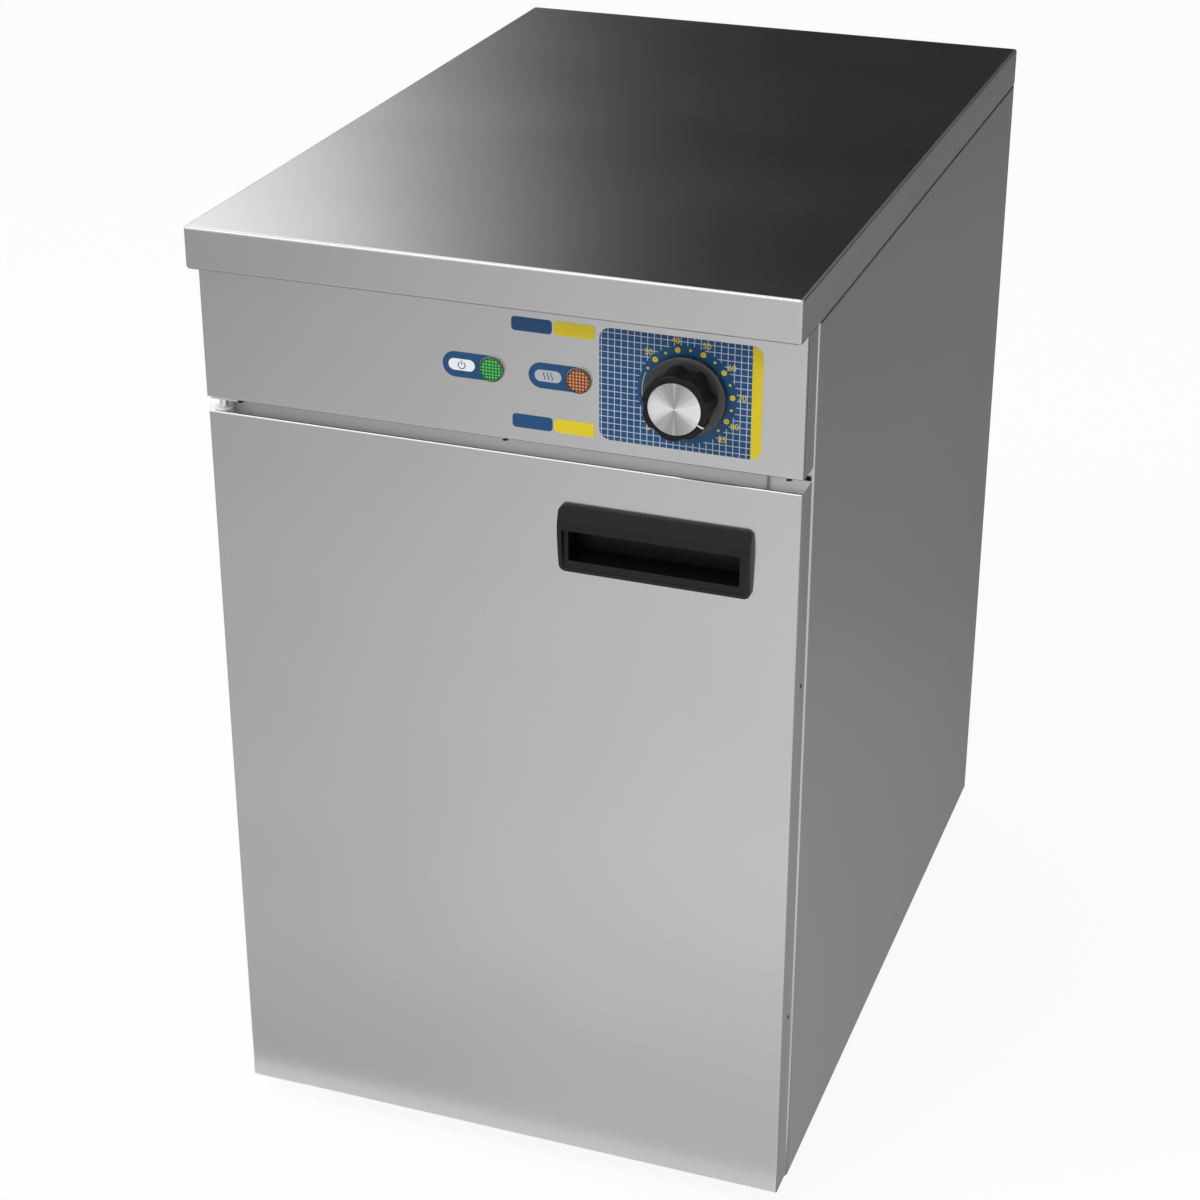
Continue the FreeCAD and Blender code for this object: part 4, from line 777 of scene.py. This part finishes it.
def lens_cup(lamp, name, finish, node):
    """The lens's plain rim, proud of its pyramids and rounded over."""
    low = prism_base - 0.2 * MM
    seat = bezel_height - 0.1 * MM
    shoulder = lens_height - 0.3 * MM
    outline = [(lens_radius, low), (lens_radius, shoulder),
               (lens_radius + 0.12 * MM, lens_height - 0.08 * MM),
               (lens_radius + 0.3 * MM, lens_height),
               (cup_radius - 0.3 * MM, lens_height - 0.06 * MM),
               (cup_radius - 0.08 * MM, shoulder), (cup_radius, lens_height - 0.6 * MM),
               (cup_radius, seat), (lens_radius, seat), (lens_radius, low)]
    shape = bmesh.new()
    turned(shape, outline, Vector((lamp.x, panel_face, lamp.z)), FORWARD, 64)
    piece(shape, name, finish, "cabinet", (node,))


def round_the_dial(angle, radius):
    """The (x, z) of a point on the dial, with its angle in degrees clockwise from the top."""
    turn = math.radians(angle)
    return knob_axis.x + radius * math.sin(turn), control_z + radius * math.cos(turn)


def label(shape, name, finish, replaces=()):
    piece(shape, name, finish, "cabinet", replaces)


def labels():
    """The printed films and inks round the dial and beside the lamps."""
    front = panel_face - film
    proud = front - ink
    low_z = control_z - field_half_height
    high_z = control_z + field_half_height
    film_nodes = ("control_labels",)

    shape = bmesh.new()
    rounded_plate(shape, (field_left, front, low_z), (field_right, panel_face, high_z),
                  field_corner)
    label(shape, "dial_field", "field_print", film_nodes)

    strip_middle = (strip_left + strip_right) / 2
    for finish, left, right in (("blue_print", strip_left, strip_middle - strip_gap / 2),
                                ("yellow_print", strip_middle + strip_gap / 2, strip_right)):
        shape = bmesh.new()
        for bottom in (low_z, high_z - strip_height):
            rounded_plate(shape, (left, front, bottom), (right, panel_face, bottom + strip_height),
                          strip_corner)
        label(shape, "accent_strips_" + finish, finish, film_nodes)

    shape = bmesh.new()
    for lamp in (power_lamp, heat_lamp):
        pill_plate(shape, (lamp.x - pill_length, front, control_z - pill_radius),
                   (lamp.x + pill_radius, panel_face, control_z + pill_radius))
    label(shape, "lamp_labels", "blue_print", film_nodes)

    for lamp, name, finish in ((power_lamp, "power_capsule", "white_print"),
                               (heat_lamp, "heat_capsule", "grey_print")):
        shape = bmesh.new()
        pill_plate(shape, (lamp.x + capsule_left, proud, control_z - capsule_radius),
                   (lamp.x + capsule_right, front, control_z + capsule_radius))
        label(shape, name, finish)

    shape = bmesh.new()
    power_mark(shape, power_lamp.x + (capsule_left + capsule_right) / 2, proud)
    heat_mark(shape, heat_lamp.x + (capsule_left + capsule_right) / 2, proud)
    label(shape, "lamp_marks", "blue_print")

    shape = bmesh.new()
    for angles, radius in ((big_dots, big_dot_radius), (small_dots, small_dot_radius)):
        for angle in angles:
            disc(shape, round_the_dial(angle, dot_circle), radius, front, proud, 24)
    for text, angle in dial_numbers.items():
        numeral(shape, text, round_the_dial(angle, numeral_circle), front, proud)
    arc_band(shape, (knob_axis.x, control_z), scale_arc_radii, scale_arc_angles, front, proud)
    label(shape, "dial_numbers", "yellow_print")

    shape = bmesh.new()
    for angle in big_dots:
        disc(shape, round_the_dial(angle, dot_circle), dot_centre_radius, proud, proud - ink, 16)
    label(shape, "dial_dot_centres", "orange_print")


def thicken(shape, faces, back, front):
    """Turns flat faces at the back depth into ink that reaches the front depth."""
    made = bmesh.ops.extrude_face_region(shape, geom=faces)["geom"]
    bmesh.ops.translate(shape, vec=(0, front - back, 0), verts=only(made, BMVert))


def numeral(shape, text, centre, back, front):
    """Adds a number of the dial as a thin solid, from text that is removed again."""
    curve = bpy.data.curves.new("numeral", "FONT")
    curve.body = text
    curve.size = numeral_size
    curve.offset = numeral_weight
    curve.align_x = "CENTER"
    curve.align_y = "CENTER"
    curve.resolution_u = 4
    holder = bpy.data.objects.new("numeral", curve)
    flat = bpy.data.meshes.new_from_object(holder)
    flat.transform(Matrix.Translation((centre[0], back, centre[1])) @ UPRIGHT)
    known = set(shape.faces)
    shape.from_mesh(flat)
    thicken(shape, [face for face in shape.faces if face not in known], back, front)
    bpy.data.objects.remove(holder)
    bpy.data.curves.remove(curve)
    bpy.data.meshes.remove(flat)


def arc_band(shape, centre, radii, angles, back, front):
    """A flat band between two radii and two angles, in degrees clockwise from the top."""
    middle = Vector((centre[0], back, centre[1]))
    start = math.radians(angles[0])
    way = Vector((math.sin(start), 0, math.cos(start)))
    points = [shape.verts.new(middle + way * radius) for radius in radii]
    edge = shape.edges.new(points)
    made = bmesh.ops.spin(shape, geom=points + [edge], cent=middle, axis=Y_AXIS,
                          angle=math.radians(angles[1] - angles[0]), steps=24)
    faces = {face for item in made["geom_last"] for face in item.link_faces}
    band = set(faces)
    while faces:
        faces = {near for face in faces for edge in face.edges for near in edge.link_faces} - band
        band |= faces
    thicken(shape, list(band), back, front)


def power_mark(shape, x, depth):
    """A ring open at the top with an upright bar in the opening."""
    radius = 1.95 * MM
    half = mark_line / 2
    arc_band(shape, (x, control_z - 0.25 * MM), (radius, radius + mark_line), (38, 322), depth,
             depth - ink)
    box_shape(shape, (x - half, depth - ink, control_z), (x + half, depth, control_z + 2.9 * MM))


def heat_mark(shape, x, depth):
    """Three upright waves side by side."""
    steps = 14
    height = 5.0 * MM
    sway = 0.55 * MM
    for place in (-2.4, 0, 2.4):
        points = [shape.verts.new((x + place * MM + side, depth, control_z - height / 2))
                  for side in (-mark_line / 2, mark_line / 2)]
        edges = [shape.edges.new(points)]
        band = []
        for step in range(1, steps + 1):
            points, edges, faces = pull_out(shape, edges)
            band += faces
            before = math.sin((step - 1) / steps * math.tau)
            bmesh.ops.translate(shape, verts=points, vec=(
                (math.sin(step / steps * math.tau) - before) * sway, 0, height / steps))
        thicken(shape, band, depth, depth - ink)


def proud_at(z):
    """How far the pull stands off the door at a height: bulging to the hood's lip and back."""
    lip_z = handle_high.z - hood_height
    if z > lip_z:
        share = (handle_high.z - z) / hood_height
        return hood_top_proud + (hood_lip_proud - hood_top_proud) * math.sin(share * math.pi / 2)
    share = (lip_z - z) / (lip_z - handle_low.z)
    return hood_lip_proud - (hood_lip_proud - hood_top_proud) * share ** 1.7


def faces_between(shape, low, high, low_x, high_x):
    """The faces and their middles within a range of z and of x."""
    shape.normal_update()
    middles = [(face, face.calc_center_median()) for face in shape.faces]
    return [(face, middle) for face, middle in middles
            if low < middle.z < high and low_x < middle.x < high_x]


def sink(shape, faces, depth):
    """Pushes faces back to a depth, with walls round them."""
    made = bmesh.ops.extrude_face_region(shape, geom=faces)["geom"]
    bmesh.ops.delete(shape, geom=faces, context="FACES")
    for point in only(made, BMVert):
        point.co.y = depth


def door_handle():
    """The moulded pull: a bulging rim and hood, a flat border, and a pocket behind its window."""
    door_face = door_low.y
    # Everything in front of this depth is the pull's own face
    proud = door_face - 1 * MM
    # The share of Y in a face's normal from which it looks forward or back
    facing = 0.6
    levels = 9
    shape = bmesh.new()
    rounded_plate(shape, (handle_low.x, door_face - hood_lip_proud, handle_low.z),
                  (handle_high.x, door_face, handle_high.z), handle_corner)
    left = handle_low.x + window_left
    right = handle_high.x - window_right
    bottom = handle_low.z + window_bottom
    top = handle_high.z - hood_height
    border_left = handle_low.x + handle_rim
    border_right = handle_high.x - handle_rim
    border_bottom = handle_low.z + handle_rim
    cuts = [(X_AXIS, value) for value in (border_left, left, right, border_right)]
    cuts += [(Z_AXIS, value) for value in (border_bottom, bottom, top)]
    cuts += [(Z_AXIS, top + (handle_high.z - handle_corner - top) * number / levels)
             for number in range(1, levels)]
    cuts += [(Z_AXIS, bottom + (top - bottom) * number / levels) for number in range(1, levels)]
    for axis, value in cuts:
        bmesh.ops.bisect_plane(shape, geom=shape.verts[:] + shape.edges[:] + shape.faces[:],
                               dist=weld, plane_co=axis * value, plane_no=axis)
    for point in shape.verts:
        if point.co.y < proud:
            point.co.y = door_face - proud_at(point.co.z)
    edges = [edge for edge in shape.edges if all(end.co.y < proud for end in edge.verts)
             and abs(edge.calc_face_angle(0)) > math.radians(60)]
    soften(shape, edges, rim_softening, 4)
    border = [face for face, middle in faces_between(shape, border_bottom, top, border_left,
                                                     border_right)
              if face.normal.y < -facing and middle.y < proud]
    sink(shape, border, door_face - border_proud)
    window = [face for face, middle in faces_between(shape, bottom, top, left, right)
              if face.normal.y > facing or (face.normal.y < -facing and middle.y < proud)]
    bmesh.ops.delete(shape, geom=window, context="FACES")
    bmesh.ops.bridge_loops(shape, edges=rim_of(shape))

    box_shape(shape, (left - pocket_wall, door_face, bottom - pocket_wall),
              (right + pocket_wall, door_face + pocket_depth + pocket_wall,
               top + pocket_rise + pocket_wall))
    shape.normal_update()
    mouth = [face for face in shape.faces if face.normal.y < -facing
             and abs(face.calc_center_median().y - door_face) < 0.01 * MM]
    bmesh.ops.inset_region(shape, faces=mouth, thickness=pocket_wall, use_even_offset=True)
    sink(shape, mouth, door_face + pocket_depth)
    piece(shape, "recessed_pull", "handle_black", "door", ("door_handle",),
          sharp=32)


def door_seal():
    """A moulded gasket round the door's inner face: a flat foot and a hollow-looking bulb."""
    low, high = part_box("door_seal")
    # Across the 10 mm of its width in mm, and its share of the depth
    outline = [(0.3, 0), (9.7, 0), (10, 0.15), (9.6, 0.42), (8.9, 0.75), (7.6, 0.95), (6, 1),
               (4.4, 0.95), (3.2, 0.72), (2.6, 0.5), (1.4, 0.42), (0.2, 0.38), (0, 0.2)]
    shape = bmesh.new()
    rings = []
    for x, x_side, z, z_side in ((low.x, -1, low.z, -1), (high.x, 1, low.z, -1),
                                 (high.x, 1, high.z, 1), (low.x, -1, high.z, 1)):
        ring = [shape.verts.new((x - x_side * across * MM, low.y + (high.y - low.y) * share,
                                 z - z_side * across * MM)) for across, share in outline]
        rings.append([shape.edges.new(pair) for pair in zip(ring, ring[1:] + ring[:1])])
    for near, far in zip(rings, rings[1:] + rings[:1]):
        bmesh.ops.bridge_loops(shape, edges=near + far)
    piece(shape, "door_gasket", "door_rubber", "door", ("door_seal",))


def feet():
    """Rubber feet with a rolled edge and two shallow grooves."""
    low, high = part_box("feet")
    top = high.z
    reach = 19 * MM
    sides = [(radius * MM, top - down * MM) for radius, down in (
        (3.05, 0), (18.4, 0), (19, 0.6), (18.4, 4), (17.8, 4.4), (17.8, 5), (18.2, 5.4),
        (17.6, 9), (17.0, 9.4), (17.0, 10), (17.3, 10.4))]
    below = in_mm((16.6, 1.2), (15.6, 0), (9, 0), (8, 0.8), (8, 7), (3.05, 7))
    shape = bmesh.new()
    for x in (low.x + reach, high.x - reach):
        for y in (low.y + reach, high.y - reach):
            turned(shape, sides + below + sides[:1], Vector((x, y, 0)), Z_AXIS, 48)
    piece(shape, "rubber_feet", "foot_rubber", "cabinet", ("feet",))


def cable_gland():
    """A gland with a chamfered hexagon and a ribbed dome nut round an open bore."""
    low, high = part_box("cable_gland")
    middle = (low + high) / 2
    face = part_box("back_panel")[1].y
    centre = Vector((middle.x, face, middle.z))
    bore = 4.5 * MM
    thread = 8 * MM
    start = 5 * MM
    end = high.y - face
    shape = bmesh.new()
    turned(shape, [(bore, 0), (bore, low.y - face), (thread, low.y - face), (thread, 0)],
           centre, Y_AXIS, 48)
    hexagon = cylinder(shape, centre + Y_AXIS * 2.5 * MM, 13 * MM, start, 6,
                       UPRIGHT @ Matrix.Rotation(math.radians(30), 4, "Z"))
    soften(shape, edges_of(hexagon), 0.6 * MM, 2)
    dome = [(end - back * MM, radius * MM, depth * MM) for back, radius, depth in (
        (4, 10, 0.9), (3, 9.6, 0.3), (1.2, 8.4, 0), (0.2, 6.6, 0), (0, 5.6, 0))]
    rings = [(start, bore, 0), (start, 9.2 * MM, 0), (start + 0.4 * MM, 10 * MM, 0.9 * MM),
             *dome, (end, bore, 0), (start, bore, 0)]
    ring_stack(shape, centre, Y_AXIS, rings, 144, 18, 3 * MM)
    piece(shape, "cable_gland_body", "black_nylon", "cabinet", ("cable_gland",))


def screw_places():
    """The middle of each screw head on the back panel, read from the node's mesh."""
    head_span = 10 * MM
    points = [point.co.copy() for point in frame["nodes"]["back_panel_screws"].data.vertices]
    outer_face = max(point.y for point in points) - 0.05 * MM
    heads = []
    for point in points:
        if point.y > outer_face:
            near = [head for head in heads if (head[0] - point).length < head_span]
            if near:
                near[0].append(point)
            else:
                heads.append([point])
    return [sum(head, Vector()) / len(head) for head in heads]


def back_screws():
    """Pan heads with a dark cross on each: painted shade where a cross recess would be."""
    head_height = 2.2 * MM
    outline = in_mm((0, 0), (3.8, 0), (4, 0.4), (3.7, 1.3), (2.9, 1.9), (1.6, 2.15), (0, 2.18))
    bar = in_mm((1.9, 0.45), (0.45, 1.9))
    shape = bmesh.new()
    marks = bmesh.new()
    for place in screw_places():
        turned(shape, outline, Vector((place.x, place.y - head_height, place.z)), Y_AXIS, 32)
        # Painted shade: a dark cross standing just proud of each head
        for half_x, half_z in bar:
            box_shape(marks, (place.x - half_x, place.y - 0.4 * MM, place.z - half_z),
                      (place.x + half_x, place.y, place.z + half_z))
    piece(shape, "panel_screw_heads", "plated_steel", "cabinet",
          ("back_panel_screws",))
    piece(marks, "panel_screw_recess_shade", "painted_shade_line", "cabinet")


def panel_bend_painted_lines():
    """Strips on the control panel's sides just behind its front bend: a dark one as painted
    reflection and a bright one as painted highlight.
    """
    low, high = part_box("control_panel")
    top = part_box("side_panel_right")[1].z
    proud = 0.04 * MM
    # A dark strip as painted reflection and a bright strip as painted highlight, where the front
    # bends round to the sides
    for name, finish, start, width in (("panel_bend_painted_reflection", "painted_shade_line", 3.1 * MM, 0.9 * MM),
                                       ("panel_bend_painted_highlight", "painted_highlight_bead", 4.1 * MM, 1.3 * MM)):
        shape = bmesh.new()
        for x in (low.x, high.x):
            box_shape(shape, (x - proud, low.y + start, low.z + 1.6 * MM),
                      (x + proud, low.y + start + width, top))
        piece(shape, name, finish, "cabinet")


def worktop_lip_shade_line():
    """A dark strip along the bottom of the folded-down lip, on the front and sides: painted shade
    at the lip's edge.
    """
    low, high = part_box("worktop")
    inset = 0.18 * MM
    corner = 2.1 * MM
    wall = 1.0 * MM
    bottom = low.z + 0.1 * MM
    top = low.z + 0.6 * MM
    shape = bmesh.new()
    box_shape(shape, (low.x + corner, low.y + inset, bottom),
              (high.x - corner, low.y + inset + wall, top))
    for x in (low.x + inset, high.x - inset - wall):
        box_shape(shape, (x, low.y + corner, bottom), (x + wall, high.y - corner, top))
    piece(shape, "worktop_lip_shade_line", "sheared_edge", "cabinet")


def door_corner_beads():
    """The dressed corner seams along the door's top edge at both sides."""
    radius = 0.45 * MM
    start = 1.3 * MM
    shape = bmesh.new()
    for x in (door_low.x + radius * 0.8, door_high.x - radius * 0.8):
        middle = (x, (door_low.y + start + door_high.y) / 2, door_high.z - radius * 0.8)
        bead = cylinder(shape, middle, radius, door_high.y - door_low.y - start, 16)
        soften(shape, [edge for edge in edges_of(bead) if not along(edge, Y_AXIS)], 0.15 * MM, 2)
    # The seams' bright finish is a painted highlight
    piece(shape, "door_corner_beads", "painted_highlight_bead", "door")


# Studio

def graded(tree, source, stops):
    """Turns a value into a grey through (value, brightness) stops."""
    first = stops[0][0]
    last = stops[-1][0]
    share = add(tree, "MapRange", {"From Min": first, "From Max": last}, {"Value": source})
    return add(tree, "ValToRGB", links={"Fac": share}, stops=[
        ((value - first) / (last - first), (grey, grey, grey, 1)) for value, grey in stops])


def card_light(name, stops):
    """A card's own light: (distance in metres, brightness) stops along one or two axes."""
    material, tree = start_material(name)
    axes = add(tree, "SeparateXYZ", links={"Vector": add(tree, "TexCoord").outputs["Object"]})
    shares = [graded(tree, axes.outputs[axis], steps) for axis, steps in stops.items()]
    light = add(tree, "Emission", links=dict(zip(("Color", "Strength"), shares)))
    return close_material(material, light)


def front_card_light():
    """Paper in front of the cabinet, darker towards the left and far away.

    Its shades fan out from a point behind the door.
    """
    fan_x = 0.567
    fan_y = 1.09
    material, tree = start_material("front_card")
    place = add(tree, "Mapping", {"Location": (-fan_x, -fan_y, 0)},
                {"Vector": add(tree, "TexCoord").outputs["Object"]})
    axes = add(tree, "SeparateXYZ", links={"Vector": place}).outputs
    leftward = add(tree, "Math", links={0: axes["X"], 1: axes["Y"]}, operation="DIVIDE")
    away = add(tree, "VectorMath", links={0: place}, operation="LENGTH").outputs["Value"]
    side_share = graded(tree, leftward, (
        (0.15, 1.0), (0.28, 0.94), (0.37, 0.875), (0.45, 0.79), (0.54, 0.71), (0.65, 0.65),
        (0.84, 0.60)))
    far_share = graded(tree, away, (
        (1.45, 0.78), (1.6, 0.85), (1.78, 1.0), (2.05, 1.0), (2.55, 0.955), (3.2, 0.87),
        (3.6, 0.83), (12.0, 0.76)))
    left = add(tree, "MapRange", {"From Min": 0.28, "From Max": 0.55}, {"Value": leftward})
    far = add(tree, "MapRange", {"From Min": 2.5, "From Max": 3.5}, {"Value": away})
    far_left = add(tree, "Math", links={0: left, 1: far}, operation="MULTIPLY")
    corner = add(tree, "MapRange", {"To Min": 1, "To Max": 0.85}, {"Value": far_left})
    strength = add(tree, "Math", links={0: far_share, 1: corner}, operation="MULTIPLY")
    light = add(tree, "Emission", links={"Color": side_share, "Strength": strength})
    return close_material(material, light)


def card(name, low, high, light):
    """A flat card between two corners, level along X, that only shows in reflections."""
    shape = bmesh.new()
    corners = (low, (high[0], *low[1:]), high, (low[0], *high[1:]))
    shape.faces.new([shape.verts.new(corner) for corner in corners])
    made = as_object(shape, name, light)
    for rays in ("camera", "diffuse", "transmission", "shadow"):
        setattr(made, "visible_" + rays, False)


def cards():
    """Grey cards round the cabinet, which give the satin metal its dark top and side."""
    over_floor = 0.003
    gap_depth = -0.2692
    card("back_card", (-40, 28, 0), (60, 28, 300), card_light("back_card", {
        "X": ((-40, 1.6), (-16.2, 1.46), (-15.2, 1.15), (-14.2, 0.94), (-13.3, 0.61),
              (-12.5, 0.41), (-11.7, 0.28), (-11, 0.14), (-10.3, 0.062), (-9.6, 0.03),
              (-8.8, 0.02), (-8, 0.016), (-5.4, 0.016), (-3.4, 0.12), (6, 0.17), (10, 0.3),
              (16, 0.6), (60, 0.8)),
        "Z": ((0, 0.03), (5, 0.1), (7.8, 0.44), (10.8, 0.98), (14, 1.3), (300, 1.3))}))
    # Darker towards the back and close to the side panel
    card("right_card", (0.2, -0.3, over_floor), (14, 27.9, over_floor), card_light("right_card", {
        "Y": ((-0.3, 0.4), (0.3, 0.318), (0.55, 0.278), (0.72, 0.238), (1.3, 0.208), (2.4, 0.171),
              (4, 0.143), (28, 0.095)),
        "X": ((0.2, 0.86), (0.27, 0.96), (0.42, 1.12), (0.5, 1.16), (14, 1.16))}))
    card("front_card", (-12, -12, over_floor), (0.45, -0.33, over_floor), front_card_light())
    card("right_front_card", (0.5, -4, over_floor), (4, -0.45, over_floor),
         card_light("right_front_card", {"Y": ((-4, 0.85), (-0.45, 0.85))}))
    # A glowing card at the back of the door's gap, mirrored in the door's top edge: it paints light
    # on the flange, and its dark and bright stripes are painted reflections of the hinge pin and of
    # upright edges
    card("gap_painted_reflection_card", (-0.215, gap_depth, 0.5462), (0.199, gap_depth, 0.5549),
         card_light("gap_painted_reflection_card", {"X": (
             (-0.215, 1.9), (-0.2035, 1.9), (-0.202, 0.06), (-0.2, 0.06), (-0.1985, 0.5),
             (-0.195, 0.45), (-0.193, 0.12), (-0.189, 0.3), (-0.18, 0.44), (-0.1, 0.52),
             (0, 0.58), (0.1, 0.6), (0.17, 0.58), (0.1713, 0.16), (0.1722, 0.16),
             (0.1734, 0.64), (0.199, 0.7))}))
    card("sky_card", (-7, -2.1, 2.4), (0.6, -1.0, 3.2),
         card_light("sky_card", {"X": ((-7, 2.6), (1, 2.6))}))


def seen_directly(tree):
    """1 for rays from the camera, a reflection or a clear piece, and 0 for the light that falls."""
    path = add(tree, "LightPath").outputs
    shown = add(tree, "Math", links={0: path["Is Camera Ray"], 1: path["Is Glossy Ray"]},
                operation="MAXIMUM")
    return add(tree, "Math", links={0: shown, 1: path["Is Transmission Ray"]},
               operation="MAXIMUM")


def floor():
    """Pale studio paper, bright enough to read as white and still keep the soft shadow."""
    glow_share = 0.9
    material, tree = start_material("studio_paper")
    share = add(tree, "Math", {1: glow_share}, {0: seen_directly(tree)}, operation="MULTIPLY")
    paper = add(tree, "BsdfDiffuse", {"Color": linear("#F4F4F4")})
    glow = add(tree, "Emission", {"Color": (1, 1, 1, 1), "Strength": 1.0})
    close_material(material, add(tree, "MixShader", links={0: share, 1: paper, 2: glow}))
    shape = bmesh.new()
    bmesh.ops.create_grid(shape, x_segments=2, y_segments=2, size=30)
    as_object(shape, "studio_floor", material)


def world():
    """An even white studio, a little lower in the light that falls than in what is seen."""
    studio = bpy.data.worlds.new("studio")
    bpy.context.scene.world = studio
    studio.use_nodes = True
    tree = studio.node_tree
    tree.nodes.clear()
    strength = add(tree, "MapRange", {"To Min": 0.75, "To Max": 1.0},
                   {"Value": seen_directly(tree)})
    light = add(tree, "Background", {"Color": (1, 1, 1, 1)}, {"Strength": strength})
    add(tree, "OutputWorld", links={"Surface": light})


def soft_lamp(name, place, target, size, power):
    """A square lamp aimed at a point. The metal mirrors the cards and not the lamp."""
    light = bpy.data.lights.new(name, "AREA")
    light.shape = "SQUARE"
    light.size = size
    light.energy = power
    made = show(bpy.data.objects.new(name, light))
    made.location = place
    made.rotation_euler = (Vector(target) - Vector(place)).to_track_quat("-Z", "Y").to_euler()
    made.visible_glossy = False


def camera():
    """The photograph's view, solved from the edges of the worktop, sides, panel and door."""
    lens = bpy.data.cameras.new("photo_view")
    lens.sensor_width = 36
    lens.lens = 77.913
    lens.shift_x = 0.00217
    lens.shift_y = -0.03898
    made = show(bpy.data.objects.new("photo_view", lens))
    right = Vector((0.9405, 0.3397, 0.0004))
    up = Vector((-0.1461, 0.4034, 0.9033))
    back = Vector((0.3067, -0.8496, 0.4290))
    turn = Matrix((right, up, back)).transposed().to_4x4()
    made.matrix_world = Matrix.Translation((0.5673, -1.67385, 1.1838)) @ turn
    bpy.context.scene.camera = made


finish_nodes()
knob_skirt()
knob_grip()
knob_cap()
knob_pointer()
lamp_lens(power_lamp, "power_lens", "green_lens", "power_lamp_lens")
lamp_lens(heat_lamp, "heat_lens", "amber_lens", "heat_lamp_lens")
lens_cup(power_lamp, "power_lens_cup", "green_edge", "power_lamp_lens")
lens_cup(heat_lamp, "heat_lens_cup", "amber_edge", "heat_lamp_lens")
labels()
door_handle()
door_seal()
feet()
cable_gland()
back_screws()
panel_bend_painted_lines()
worktop_lip_shade_line()
door_corner_beads()

floor()
cards()
world()
soft_lamp("key_light", (-0.9, -1.5, 2.7), (0, 0, 0.4), 1.2, 34)
camera()
bpy.context.scene.view_settings.view_transform = "Standard"
